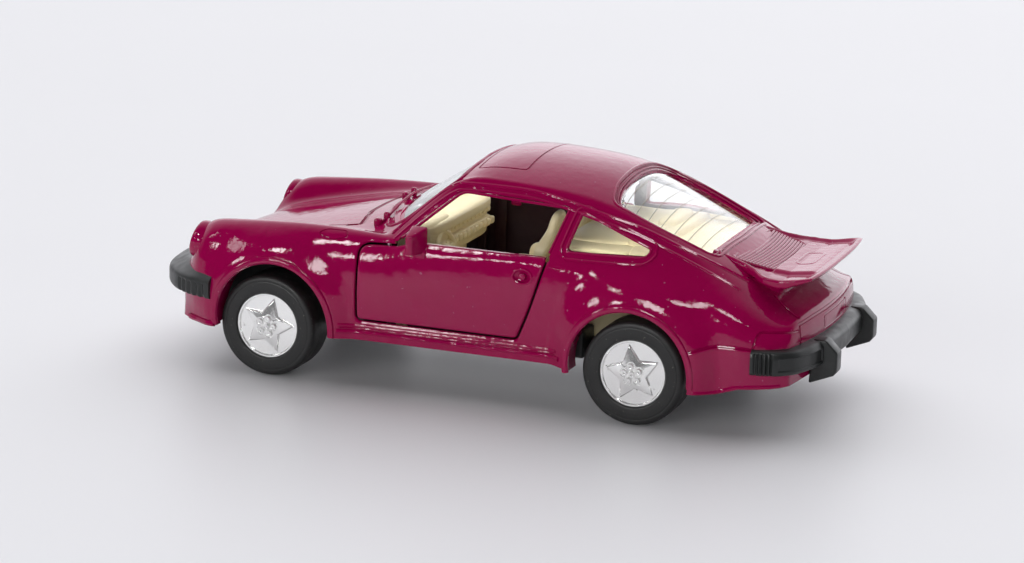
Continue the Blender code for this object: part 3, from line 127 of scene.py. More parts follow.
# Each station: its place, how far it bows back at the bow width, its ten rails' widths and their heights.
BOW_WIDTH = 20.0
STATIONS: dict[str, Station] = {
    "chin_low": (-19.3, 3.3, (0, 4.5, 8.5, 11.3, 13, 14.3, 15.2, 15.9, 16.5, 17),
        (6, 6, 6, 6, 6, 6, 6, 6, 6, 6)),
    "chin": (-19.8, 4.2, (0, 4.9, 9.2, 12.3, 14.2, 15.6, 16.3, 16.4, 17.3, 17.9),
        (11.8, 11.8, 11.7, 11.6, 11.4, 11.1, 10.8, 10, 8.5, 6.2)),
    "nose_face": (-19.4, 3, (0, 5, 9.5, 12.8, 15, 16.6, 17.7, 18.1, 17.5, 18.7),
        (16, 15.9, 15.7, 15.4, 15, 14.5, 13.6, 12, 9.9, 6.4)),
    "nose_lip": (-18.6, 3.9, (0, 5.2, 10, 13.4, 15.4, 17.7, 19.6, 20.4, 19.9, 20.4),
        (17.1, 17, 16.8, 16.9, 17.3, 17.4, 16.2, 13.2, 9.9, 6.4)),
    "lamp_low": (-16.2, 2.8, (0, 5.4, 10.4, 13.1, 14.7, 17.7, 20.6, 21.6, 21.4, 20.8),
        (18.5, 18.4, 18.1, 18.7, 20.4, 21.5, 19.6, 14.6, 10, 6.4)),
    "lamp_top": (-12.4, 1, (0, 5.6, 10.9, 13.3, 14.9, 17.7, 20.9, 22.2, 22, 21.4),
        (20.2, 20.1, 19.9, 20.6, 22.8, 24, 22, 16, 10.2, 6.4)),
    "hood_front": (-7, 0, (0, 5.9, 11.3, 13.9, 15.4, 18, 21.2, 22.5, 22.3, 21.7),
        (21.7, 21.6, 21.3, 21.8, 23.6, 24.6, 22.5, 16.5, 10.2, 6.5)),
    "hood_mid": (2, 0, (0, 6.4, 12, 14.8, 16.3, 18.5, 21.3, 22.5, 22.3, 21.7),
        (23.6, 23.5, 23.1, 23.4, 24.6, 25.2, 22.8, 17, 10.3, 6.6)),
    "hood_rear": (9, 2.5, (0, 6.8, 12.6, 15.6, 17.2, 19, 21.2, 22.4, 22.1, 21.5),
        (25, 24.9, 24.5, 24.5, 25.1, 25.3, 23, 17.4, 10.4, 6.6)),
    "cowl": (13.4, 5.5, (0, 7, 13, 16.6, 18.3, 19.6, 21.2, 22.4, 22, 21.4),
        (25.8, 25.7, 25.3, 25, 25.1, 25.1, 23.2, 17.8, 10.4, 6.6)),
    "screen_low": (15.4, 6, (0, 7.1, 13.2, 16.9, 18.5, 20.2, 21.3, 22.4, 22, 21.4),
        (26.9, 26.7, 26.2, 25.7, 25.7, 25.1, 23.4, 18, 10.4, 6.6)),
    "screen_mid": (22.5, 3.5, (0, 7.2, 13.2, 16.2, 17.7, 20.6, 21.5, 22.4, 22, 21.4),
        (31.5, 31.2, 30.2, 29.3, 29.2, 25.1, 23.4, 18.4, 10.4, 6.6)),
    "screen_top": (30.5, 0.8, (0, 7, 12.4, 14.7, 15.9, 20.7, 21.6, 22.4, 22, 21.4),
        (36.1, 35.7, 34.9, 34.3, 33.6, 25.1, 23.4, 18.5, 10.4, 6.6)),
    "roof_front": (37, 0, (0, 7, 12.4, 14.7, 15.9, 20.8, 21.6, 22.4, 22, 21.4),
        (37.5, 37, 35.8, 34.9, 33.8, 25.2, 23.5, 18.5, 10.4, 6.6)),
    "roof_rear": (46, 0, (0, 7, 12.3, 14.6, 15.9, 20.8, 21.7, 22.4, 22, 21.4),
        (37.2, 36.7, 35.4, 34.5, 33.3, 25.4, 23.5, 18.5, 10.4, 6.6)),
    "window_top": (54.5, 1.5, (0, 6.6, 11.8, 14.3, 16, 20.6, 22, 22.6, 22.2, 21.6),
        (35.9, 35.5, 34.2, 33.2, 31.9, 25.4, 23, 18.3, 10.4, 6.6)),
    "window_mid": (63, 0, (0, 6.3, 11.2, 13.9, 16.1, 20, 22.2, 22.8, 22.4, 21.8),
        (32.2, 31.9, 31, 30.4, 29.4, 25, 22.2, 17.8, 10.4, 6.6)),
    "window_base": (71.5, 0, (0, 5.8, 10.4, 13.1, 15.5, 19, 21.8, 22.6, 22.5, 22),
        (27.7, 27.5, 27.1, 26.7, 26, 23.4, 20.6, 16.8, 10.4, 5.8)),
    "deck_mid": (79, 0, (0, 5.8, 10.4, 13, 15.6, 18.8, 21.2, 22.2, 22.2, 21.8),
        (23.9, 23.8, 23.4, 22.9, 22, 20.5, 18.6, 15.8, 10.4, 5.6)),
    "deck_end": (85, -0.8, (0, 5.6, 10.2, 12.9, 15.4, 17.8, 19.8, 20.9, 21, 20.6),
        (19.9, 19.8, 19.5, 19.2, 18.7, 18, 16.8, 14.7, 10.4, 5.9)),
    "tail_edge": (88.2, -2.2, (0, 5.6, 10.1, 12.7, 14.9, 16.9, 18.5, 19.5, 19.6, 19.2),
        (18.8, 18.7, 18.6, 18.4, 18.2, 17.7, 16.5, 14.3, 10.3, 6)),
    "tail_face": (89, -2.4, (0, 5.5, 10, 12.6, 14.8, 16.7, 18.1, 19, 19.1, 18.7),
        (17.4, 17.4, 17.2, 17.1, 16.9, 16.3, 15.3, 13.4, 10, 6.2)),
    "tail_mid": (89.4, -2.6, (0, 5.4, 9.8, 12.4, 14.4, 16.2, 17.4, 18.2, 18.5, 18.3),
        (12.6, 12.6, 12.5, 12.4, 12.2, 11.9, 11.3, 10.4, 9, 6)),
    "tail_low": (89, -2.2, (0, 5, 9, 11.6, 13.4, 14.9, 16.1, 16.9, 17.4, 17.8),
        (6, 6, 6, 6, 6, 6, 6, 6, 6, 6)),
}


# Small sums on whole arrays


def ease(t: Array) -> Array:
    """Smooth step: 3t^2 - 2t^3 on t held between 0 and 1."""
    t = np.clip(t, 0.0, 1.0)
    return t * t * (3.0 - 2.0 * t)


def unit(vectors: Array) -> Array:
    """Vectors of length 1 in the same directions."""
    return vectors / np.maximum(np.linalg.norm(vectors, axis=-1, keepdims=True), 1e-12)


def signed_power(values: Array, power: float) -> Array:
    """A power that keeps the sign, as superellipses need."""
    return np.sign(values) * np.abs(values) ** power


def evenly(points: Array, spacing: float, closed: bool) -> Array:
    """Lay points at even steps along a polyline.

    Args:
        points: Corners of the line, one per row.
        spacing: About how far apart the new points lie.
        closed: Whether the line returns to its start.

    Returns:
        The new points; a closed line doesn't repeat its first.
    """
    line = np.concatenate([points, points[:1]]) if closed else points
    run = np.concatenate([[0.0], np.cumsum(np.linalg.norm(np.diff(line, axis=0), axis=1))])
    count = max(4, round(run[-1] / spacing))
    marks = np.linspace(0.0, run[-1], count + 1)
    if closed:
        marks = marks[:-1]
    return np.stack([np.interp(marks, run, column) for column in line.T], axis=1)


def rounded(corners: Points, radius: float | tuple[float, ...], spacing: float,
            closed: bool = True) -> Array:
    """Round a polygon's corners and lay points along it.

    Each corner becomes a quadratic curve between points that lie the radius away from it, or not quite
    half way along a shorter side.

    Args:
        corners: The polygon's corners.
        radius: How far from a corner its curve starts, for all corners or for each.
        spacing: About how far apart the points lie.
        closed: Whether the polygon returns to its start.

    Returns:
        Points along the rounded line.
    """
    given = np.array(corners, dtype=float)
    before = np.roll(given, 1, axis=0) - given
    after = np.roll(given, -1, axis=0) - given
    reach = 0.48 * np.minimum(np.linalg.norm(before, axis=1), np.linalg.norm(after, axis=1))
    reach = np.minimum(reach, np.asarray(radius, dtype=float))
    if not closed:
        reach[0] = reach[-1] = 0.0
    start = given + unit(before) * reach[:, None]
    end = given + unit(after) * reach[:, None]
    t = np.linspace(0.0, 1.0, 9)[None, :, None]
    curves = (1 - t) ** 2 * start[:, None] + 2 * t * (1 - t) * given[:, None] + t**2 * end[:, None]
    return evenly(curves.reshape(-1, given.shape[1]), spacing, closed)


def fair(knots: Points, spacing: float) -> Array:
    """An open smooth curve through knots: cubic pieces whose slopes are those of their neighbours.

    Args:
        knots: Points that the curve runs through.
        spacing: About how far apart the points lie.

    Returns:
        Points along the curve.
    """
    given = np.array(knots, dtype=float)
    wide = np.concatenate([2 * given[:1] - given[1:2], given, 2 * given[-1:] - given[-2:-1]])
    t = np.linspace(0.0, 1.0, 24)[None, :, None]
    p0, p1, p2, p3 = (wide[i : len(wide) - 3 + i, None] for i in range(4))
    square = 2 * p0 - 5 * p1 + 4 * p2 - p3
    cube = 3 * p1 - p0 - 3 * p2 + p3
    curve = 2 * p1 + (p2 - p0) * t + square * t**2 + cube * t**3
    return evenly(0.5 * curve.reshape(-1, given.shape[1]), spacing, False)


def both_halves(half: Points) -> Points:
    """A whole outline from its left half, whose ends lie on the middle line."""
    return [*half, *[(-point[0], *point[1:]) for point in reversed(half) if point[0] > 1e-9]]


def full_turn(count: int) -> Array:
    """Angles evenly round a circle, without the last that would repeat the first."""
    return np.linspace(0.0, 2 * math.pi, count, endpoint=False)


def facing(place: Array | Triple, direction: Triple) -> Matrix:
    """The place of something whose own +Z points in a direction."""
    return Matrix.Translation(place) @ Vector(direction).to_track_quat("Z", "Y").to_matrix().to_4x4()


def arc(centre: Pair, radius: float, start: float, end: float, count: int) -> Array:
    """Points of a circular arc between two angles in degrees."""
    angle = np.radians(np.linspace(start, end, count))
    return np.stack([centre[0] + radius * np.cos(angle), centre[1] + radius * np.sin(angle)], axis=1)


# Meshes


@dataclass
class Solid:
    """A mesh as whole arrays: points, the points of all faces in a row, and each face's corner count."""

    verts: Array
    loops: Array
    sizes: Array

    @classmethod
    def joined(cls, solids: list[Solid]) -> Solid:
        """Put several solids side by side in one.

        Args:
            solids: The solids.

        Returns:
            One solid of them all.
        """
        offsets = np.cumsum([0, *[len(solid.verts) for solid in solids[:-1]]])
        return cls(
            np.concatenate([solid.verts for solid in solids]),
            np.concatenate([solid.loops + offset for solid, offset in zip(solids, offsets)]),
            np.concatenate([solid.sizes for solid in solids]),
        )

    def mirrored(self) -> Solid:
        """The same solid on the other side of the car, its faces turned round.

        Returns:
            The mirror image.
        """
        ends = np.cumsum(self.sizes)
        face = np.repeat(np.arange(len(self.sizes)), self.sizes)
        place = np.arange(len(self.loops)) - (ends - self.sizes)[face]
        return Solid(self.verts * MIRROR, self.loops[(ends[face] - 1) - place], self.sizes)

    def both(self) -> Solid:
        """This solid and its mirror image."""
        return Solid.joined([self, self.mirrored()])

    def moved(self, matrix: Matrix) -> Solid:
        """The solid after a rigid move."""
        turn = np.array(matrix)
        return Solid(self.verts @ turn[:3, :3].T + turn[:3, 3], self.loops, self.sizes)


def lattice(points: Array, wrap_rows: bool = False, wrap_columns: bool = False) -> Solid:
    """Quads between the neighbours of a grid of points.

    Args:
        points: Grid of points (rows, columns, 3).
        wrap_rows: Whether the last row joins the first.
        wrap_columns: Whether the last column joins the first.

    Returns:
        The grid as a mesh.
    """
    index = np.arange(points.shape[0] * points.shape[1]).reshape(points.shape[:2])
    if wrap_rows:
        index = np.concatenate([index, index[:1]], axis=0)
    if wrap_columns:
        index = np.concatenate([index, index[:, :1]], axis=1)
    corners = (index[:-1, :-1], index[1:, :-1], index[1:, 1:], index[:-1, 1:])
    loops = np.stack(corners, axis=-1).reshape(-1)
    return Solid(points.reshape(-1, 3), loops, np.full(len(loops) // 4, 4))


def tube(rings: Array, closed: bool = False) -> Solid:
    """A skin over rings of points; an open row of rings gets a flat face at either end.

    Args:
        rings: Points (rings, points in a ring, 3).
        closed: Whether the last ring joins the first.

    Returns:
        The closed tube.
    """
    skin = lattice(rings, wrap_rows=closed, wrap_columns=True)
    if closed:
        return skin
    count = rings.shape[1]
    first = np.arange(count)
    last = first + (rings.shape[0] - 1) * count
    loops = np.concatenate([skin.loops, first, last[::-1]])
    return Solid(skin.verts, loops, np.concatenate([skin.sizes, [count, count]]))


def turned(profile: Array, sides: int, closed: bool = False) -> Solid:
    """A turned shape: a profile of (radius, height) carried round +Z.

    Args:
        profile: Points (radius, height); an open profile starts and ends on the axis.
        sides: Number of steps round the axis.
        closed: Whether the profile is a ring that misses the axis.

    Returns:
        The turned solid.
    """
    angle = full_turn(sides)
    radius, height = profile[:, 0], profile[:, 1]
    points = np.stack([
        np.cos(angle)[:, None] * radius,
        np.sin(angle)[:, None] * radius,
        np.broadcast_to(height, (sides, len(profile))),
    ], axis=-1)
    return lattice(points, wrap_rows=True, wrap_columns=closed)


def superquad(centre: Array | Triple, half: Array | Triple, power: float,
              steps: tuple[int, int] = (28, 40)) -> Solid:
    """A rounded block: a sphere's sines and cosines raised to a power below 1, times three half sizes.

    Args:
        centre: Its middle, in metres.
        half: Half its size along each axis, in mm.
        power: 1 gives an ellipsoid, and small values give a box with soft edges.
        steps: Rows from pole to pole and columns round the middle.

    Returns:
        The closed block.
    """
    up = np.linspace(-math.pi / 2, math.pi / 2, steps[0])[:, None]
    round_ = full_turn(steps[1])[None, :]
    flat = signed_power(np.cos(up), power)
    points = np.stack([
        flat * signed_power(np.cos(round_), power),
        flat * signed_power(np.sin(round_), power),
        np.broadcast_to(signed_power(np.sin(up), power), (steps[0], steps[1])),
    ], axis=-1)
    return lattice(points * (np.array(half) * MM) + np.array(centre), wrap_columns=True)


def grown(outline: Array, amount: float) -> Array:
    """Move a closed outline's points outwards, square to the line through their neighbours.

    Args:
        outline: The closed outline.
        amount: How far, in its own unit; below 0 is inwards.

    Returns:
        The moved points.
    """
    ahead = np.roll(outline, -1, axis=0)
    area = np.sum(outline[:, 0] * ahead[:, 1] - ahead[:, 0] * outline[:, 1])
    along = unit(ahead - np.roll(outline, 1, axis=0))
    outward = np.stack([along[:, 1], -along[:, 0]], axis=1) * math.copysign(1.0, area)
    return outline + outward * amount


# Surface of the car


@dataclass
class Trace:
    """A line on the car's skin: its points and the skin's outward directions there, in metres."""

    points: Array
    normals: Array
    closed: bool

    def bead(self, radius: float, sink: float, flat: float = 1.0, sides: int = 8) -> Solid:
        """A round bead along the line.

        Args:
            radius: Half its width, in mm.
            sink: How deep its middle lies below the skin, in mm.
            flat: Its height as a share of its width.
            sides: Points round it.

        Returns:
            The bead as a closed tube.
        """
        if self.closed:
            along = np.roll(self.points, -1, axis=0) - np.roll(self.points, 1, axis=0)
        else:
            along = np.gradient(self.points, axis=0)
        across = unit(np.cross(self.normals, along))
        angle = full_turn(sides)
        middle = self.points - self.normals * sink * MM
        ring = np.cos(angle)[None, :, None] * across[:, None] * radius * MM
        rise = np.sin(angle)[None, :, None] * self.normals[:, None] * radius * flat * MM
        return tube(middle[:, None] + ring + rise, self.closed)


class LinesPlan:
    """The car's outside: a bicubic B-spline skin over a net of stations and rails, with arch flares."""

    flare_rails = (4.6, 6.2)
    arches = (
        ((1.3, 9.2), 10.6, 1.15, (5.5, 4.0, 4.0)),
        ((63.1, 8.4), 10.3, 1.90, (8.0, 4.2, 3.8)),
    )

    def __init__(self, axle_y: float) -> None:
        """Fair the net.

        Args:
            axle_y: Where the front axle lies in the frame, in metres.
        """
        self.axle_y = axle_y
        self.names = list(STATIONS)
        rows = [
            [(x, s + bow * (x / BOW_WIDTH) ** 2, z) for x, z in zip(widths, heights)]
            for s, bow, widths, heights in STATIONS.values()
        ]
        net = np.array(rows, dtype=float)
        wide = self.padded(net)
        faired = (8 * wide[1:-1] - wide[:-2] - wide[2:]) / 6
        faired = (8 * faired[:, 1:-1] - faired[:, :-2] - faired[:, 2:]) / 6
        self.control = self.padded(faired)
        self.last_u = net.shape[0] - 1
        self.last_v = net.shape[1] - 1

    @staticmethod
    def padded(net: Array) -> Array:
        """Add a phantom line all round a half net: straight on at its ends, mirrored at the middle.

        Args:
            net: Points (stations, rails, 3).

        Returns:
            The wider net.
        """
        net = np.concatenate([2 * net[:1] - net[1:2], net, 2 * net[-1:] - net[-2:-1]], axis=0)
        inner = net[:, 1:2] * MIRROR
        outer = 2 * net[:, -1:] - net[:, -2:-1]
        return np.concatenate([inner, net, outer], axis=1)

    @staticmethod
    def weights(t: Array) -> list[Array]:
        """Uniform cubic B-spline weights of four neighbours."""
        middle = (3 * t**3 - 6 * t**2 + 4) / 6, (3 * (t + t**2 - t**3) + 1) / 6
        return [(1 - t) ** 3 / 6, *middle, t**3 / 6]

    def station(self, name: str, past: float = 0.0) -> float:
        """The parameter of a station, and a share of the way to the next."""
        return self.names.index(name) + past

    def metres(self, points: Array | Points | Triple) -> Array:
        """Plan points (x, s, z) in mm as frame points in metres."""
        return np.asarray(points, dtype=float) * MM + np.array([0.0, self.axle_y, 0.0])

    def outline(self, points: Array, view: View) -> Array:
        """Plan points of one view in mm as the frame's two coordinates in metres."""
        offset = np.array([self.axle_y if axis == 1 else 0.0 for axis in view.value])
        return np.asarray(points, dtype=float) * MM + offset

    def prism(self, points: Array | Points, view: View, low: float, high: float) -> Solid:
        """Extrude a closed plan outline along the axis that its view leaves out, all in mm.

        Args:
            points: The outline.
            view: The view that it is drawn in.
            low: Where the prism starts.
            high: Where it ends.

        Returns:
            The closed prism.
        """
        rings = np.zeros((2, len(points), 3))
        rings[..., list(view.value)] = points
        rings[..., 3 - sum(view.value)] = np.array([low, high])[:, None]
        return tube(self.metres(rings))

    def block(self, low: Triple, high: Triple, power: float, steps: tuple[int, int] = (26, 44)) -> Solid:
        """A soft-edged block between two plan corners."""
        a, b = np.array(low), np.array(high)
        return superquad(self.metres((a + b) / 2), (b - a) / 2, power, steps)

    def flare(self, s: Array, z: Array, rail: Array) -> Array:
        """How far the arch flares stand out: each fades with the distance from its arch's edge.

        Args:
            s: Places along the car, in mm.
            z: Heights, in mm.
            rail: Rail parameters.

        Returns:
            How far out, in mm.
        """
        low, high = self.flare_rails
        total = np.zeros_like(s)
        for (centre_s, centre_z), radius, amount, (reach_up, reach_front, reach_back) in self.arches:
            ds = s - centre_s
            dz = z - centre_z
            distance = np.hypot(ds, dz)
            lift = np.clip(dz / distance, 0.0, 1.0) ** 1.5
            side = np.where(ds < 0, reach_front, reach_back)
            reach = side + (reach_up - side) * lift
            total = total + amount * (1.0 - ease((distance - radius) / reach))
        return total * ease((rail - low) / (high - low))

    def at(self, u: Array, v: Array) -> Array:
        """Points of the left half of the skin, in metres: sixteen neighbours' weights and the flares.

        Args:
            u: Station parameters, from the chin to the tail.
            v: Rail parameters, from the middle line to the bottom rim.

        Returns:
            Points (..., 3).
        """
        u, v = np.broadcast_arrays(np.asarray(u, dtype=float), np.asarray(v, dtype=float))
        row = np.clip(np.floor(u).astype(int), 0, self.last_u - 1)
        column = np.clip(np.floor(v).astype(int), 0, self.last_v - 1)
        weights_u = self.weights(u - row)
        weights_v = self.weights(v - column)
        plan = np.zeros((*u.shape, 3))
        for i, weight_u in enumerate(weights_u):
            for j, weight_v in enumerate(weights_v):
                plan += (weight_u * weight_v)[..., None] * self.control[row + i, column + j]
        plan[..., 0] += self.flare(plan[..., 1], plan[..., 2], v)
        return self.metres(plan)

    def normal(self, u: Array, v: Array) -> Array:
        """Outward directions of the left half: the cross product of the skin's two slopes.

        Args:
            u: Station parameters.
            v: Rail parameters.

        Returns:
            Directions (..., 3).
        """
        step = 2e-3
        u = np.asarray(u, dtype=float)
        v = np.asarray(v, dtype=float)
        along_u = self.at(u + step, v) - self.at(u - step, v)
        along_v = self.at(u, v + step) - self.at(u, v - step)
        return unit(np.cross(along_v, along_u))

    def locate(self, targets: Array, view: View, u_span: Pair,
               v_span: Pair) -> tuple[Array, Array]:
        """Find where lines of sight meet the left half: the nearest of a few samples, then Newton steps.

        Args:
            targets: Frame points of a view (n, 2), in metres.
            view: The view.
            u_span: Station parameters to look between.
            v_span: Rail parameters to look between.

        Returns:
            The parameters u and v of each target.
        """
        axes = list(view.value)
        grid_u, grid_v = np.meshgrid(np.linspace(*u_span, 150), np.linspace(*v_span, 60), indexing="ij")
        seeds = self.at(grid_u, grid_v)[..., axes].reshape(-1, 2)
        nearest = ((seeds[None] - targets[:, None]) ** 2).sum(axis=-1).argmin(axis=1)
        u = grid_u.reshape(-1)[nearest]
        v = grid_v.reshape(-1)[nearest]
        step = 1e-3
        for _ in range(12):
            here = self.at(u, v)[..., axes]
            miss = targets - here
            by_u = (self.at(u + step, v)[..., axes] - here) / step
            by_v = (self.at(u, v + step)[..., axes] - here) / step
            area = by_u[:, 0] * by_v[:, 1] - by_u[:, 1] * by_v[:, 0]
            area = np.where(np.abs(area) < 1e-12, 1e-12, area)
            move_u = (miss[:, 0] * by_v[:, 1] - miss[:, 1] * by_v[:, 0]) / area
            move_v = (by_u[:, 0] * miss[:, 1] - by_u[:, 1] * miss[:, 0]) / area
            u = np.clip(u + np.clip(move_u, -0.3, 0.3), *u_span)
            v = np.clip(v + np.clip(move_v, -0.3, 0.3), *v_span)
        return u, v

    def trace(self, points: Array, view: View, stations: tuple[str, str], rails: Pair,
              closed: bool) -> Trace:
        """Lay a line of plan points on the skin.

        Args:
            points: Plan points of the view in mm; a negative x lies on the right half.
            view: The view that the line is drawn in.
            stations: First and last station to look between.
            rails: First and last rail to look between.
            closed: Whether the line returns to its start.

        Returns:
            The line on the skin.
        """
        targets = self.outline(points, view)
        hand = np.ones(len(targets))
        if 0 in view.value:
            hand = np.where(targets[:, 0] < 0.0, -1.0, 1.0)
            targets = np.stack([np.abs(targets[:, 0]), targets[:, 1]], axis=1)
        span = (self.station(stations[0]), self.station(stations[1]))
        u, v = self.locate(targets, view, span, rails)
        flip = np.stack([hand, np.ones_like(hand), np.ones_like(hand)], axis=1)
        return Trace(self.at(u, v) * flip, self.normal(u, v) * flip, closed)

    def even_parameters(self, spacing: float, stations: tuple[str, str],
                        last_rail: float) -> tuple[Array, Array]:
        """Parameters whose points lie about evenly apart, along the car and round its section.

        Args:
            spacing: About how far apart the points lie, in mm.
            stations: First and last station.
            last_rail: Lowest rail.

        Returns:
            Station parameters and rail parameters.
        """
        u = np.linspace(self.station(stations[0]), self.station(stations[1]), 1200)
        v = np.linspace(0.0, last_rail, 600)
        runs_u = [np.linalg.norm(np.diff(self.at(u, rail), axis=0), axis=1) for rail in (0.0, 4.0, 6.0)]
        names = ("hood_mid", "roof_front", "window_mid", "deck_mid")
        runs_v = [np.linalg.norm(np.diff(self.at(self.station(n), v), axis=0), axis=1) for n in names]
        chosen = []
        for values, runs in ((u, runs_u), (v, runs_v)):
            run = np.concatenate([[0.0], np.cumsum(np.mean(runs, axis=0))])
            count = round(run[-1] / (spacing * MM)) + 1
            chosen.append(np.interp(np.linspace(0.0, run[-1], count), run, values))
        return chosen[0], chosen[1]

    def skin(self, u: Array, v: Array, inset: float, corner: int = 2) -> Array:
        """Points of the whole skin, left rim to right rim, moved in by an inset in mm.

        Args:
            u: Station parameters.
            v: Rail parameters.
            inset: How far in, in mm.
            corner: Rows and columns at a corner that share one direction.

        Returns:
            Points (stations, rails of both halves, 3).
        """
        grid_u, grid_v = np.meshgrid(u, v, indexing="ij")
        half = self.at(grid_u, grid_v)
        half[:, 0, 0] = np.where(v[0] == 0.0, 0.0, half[:, 0, 0])
        whole = np.concatenate([half[:, :0:-1], half * MIRROR], axis=1)
        if inset == 0.0:
            return whole
        normal = unit(np.cross(np.gradient(whole, axis=0), np.gradient(whole, axis=1)))
        for row, ends in ((corner, slice(None, corner)), (-corner - 1, slice(-corner, None))):
            normal[ends, :corner] = normal[row, corner]
            normal[ends, -corner:] = normal[row, -corner - 1]
        return whole - inset * MM * normal

    def solid(self, u: Array, v: Array, inset: float, depth: float) -> Solid:
        """The space under the skin down to a depth: the grid, its skirt and one flat face below.

        Args:
            u: Station parameters.
            v: Rail parameters.
            inset: How far below the skin, in mm.
            depth: Height of the flat face, in mm.

        Returns:
            The closed solid.
        """
        skin = np.pad(self.skin(u, v, inset), ((1, 1), (1, 1), (0, 0)), mode="edge")
        skin[0, :, 2] = skin[-1, :, 2] = depth * MM
        skin[:, 0, 2] = skin[:, -1, 2] = depth * MM
        made = lattice(skin)
        index = np.arange(skin.shape[0] * skin.shape[1]).reshape(skin.shape[:2])
        rim = np.concatenate([index[0, :-1], index[:-1, -1], index[-1, :0:-1], index[:0:-1, 0]])
        sizes = np.concatenate([made.sizes, [len(rim)]])
        return Solid(made.verts, np.concatenate([made.loops, rim]), sizes)


# Scene objects


def put_mesh(name: str, solid: Solid, finish: int = 0) -> Object:
    """Make a scene object of a solid, its doubles merged and its faces pointing out.

    Args:
        name: The object's name.
        solid: The mesh.
        finish: Which of the object's materials the faces take.

    Returns:
        The object, at the origin.
    """
    mesh = bpy.data.meshes.new(name)
    mesh.vertices.add(len(solid.verts))
    mesh.loops.add(len(solid.loops))
    mesh.polygons.add(len(solid.sizes))
    mesh.vertices.foreach_set("co", np.asarray(solid.verts, dtype=np.float32).ravel())
    mesh.loops.foreach_set("vertex_index", np.asarray(solid.loops, dtype=np.int32))
    starts = np.concatenate([[0], np.cumsum(solid.sizes)[:-1]])
    mesh.polygons.foreach_set("loop_start", np.asarray(starts, dtype=np.int32))
    mesh.update(calc_edges=True)
    mesh.validate()
    bm = bmesh.new()
    bm.from_mesh(mesh)
    bmesh.ops.remove_doubles(bm, verts=bm.verts, dist=2e-7)
    bmesh.ops.recalc_face_normals(bm, faces=bm.faces)
    bm.to_mesh(mesh)
    bm.free()
    mesh.materials.append(None)
    mesh.materials.append(None)
    mesh.polygons.foreach_set("material_index", np.full(len(mesh.polygons), finish, dtype=np.int32))
    obj = bpy.data.objects.new(name, mesh)
    bpy.context.scene.collection.objects.link(obj)
    return obj


def settled(obj: Object) -> Object:
    """Replace an object's mesh by what its modifiers make of it.

    Args:
        obj: The object.

    Returns:
        The same object.
    """
    graph = bpy.context.evaluated_depsgraph_get()
    mesh = bpy.data.meshes.new_from_object(obj.evaluated_get(graph))
    obj.modifiers.clear()
    old = obj.data
    obj.data = mesh
    bpy.data.meshes.remove(old)
    return obj


def carve(obj: Object, tool: Solid | Object, operation: str = "DIFFERENCE",
          finish: int = 0) -> Object:
    """Combine an object with a tool and drop the tool.

    Args:
        obj: The object to change.
        tool: A solid or an object.
        operation: DIFFERENCE, UNION or INTERSECT.
        finish: Which of the object's materials the cut faces take.

    Returns:
        The changed object.
    """
    if isinstance(tool, Solid):
        tool = put_mesh("tool", tool, finish)
    modifier = obj.modifiers.new("carve", "BOOLEAN")
    modifier.operation = operation
    modifier.solver = "MANIFOLD"
    modifier.object = tool
    settled(obj)
    bpy.data.objects.remove(tool, do_unlink=True)
    return obj


def taken_in(obj: Object, solids: list[Solid], finish: int = 0) -> Object:
    """Add loose solids to an object's mesh, where they lie in it as cast lips and beads do.

    Args:
        obj: The object.
        solids: The solids.
        finish: Which of the object's materials they take.

    Returns:
        The same object.
    """
    extra = put_mesh("extra", Solid.joined(solids), finish)
    bm = bmesh.new()
    bm.from_mesh(obj.data)
    bm.from_mesh(extra.data)
    bm.to_mesh(obj.data)
    bm.free()
    bpy.data.objects.remove(extra, do_unlink=True)
    return obj


def read_back(obj: Object) -> Solid:
    """Take an object's mesh back as arrays and drop the object.

    Args:
        obj: The object.

    Returns:
        Its mesh.
    """
    mesh = obj.data
    verts = np.zeros(len(mesh.vertices) * 3)
    mesh.vertices.foreach_get("co", verts)
    loops = np.zeros(len(mesh.loops), dtype=int)
    mesh.loops.foreach_get("vertex_index", loops)
    sizes = np.zeros(len(mesh.polygons), dtype=int)
    mesh.polygons.foreach_get("loop_total", sizes)
    bpy.data.objects.remove(obj, do_unlink=True)
    return Solid(verts.reshape(-1, 3), loops, sizes)


def bevelled(solid: Solid, width: float, segments: int = 3) -> Solid:
    """Round a solid's sharp edges by a width in mm.

    Args:
        solid: The solid.
        width: Width of the rounding.
        segments: Steps across it.

    Returns:
        The rounded solid.
    """
    obj = put_mesh("bevelled", solid)
    modifier = obj.modifiers.new("rounding", "BEVEL")
    modifier.width = width * MM
    modifier.segments = segments
    modifier.limit_method = "ANGLE"
    modifier.angle_limit = math.radians(30)
    return read_back(settled(obj))


# Finishes


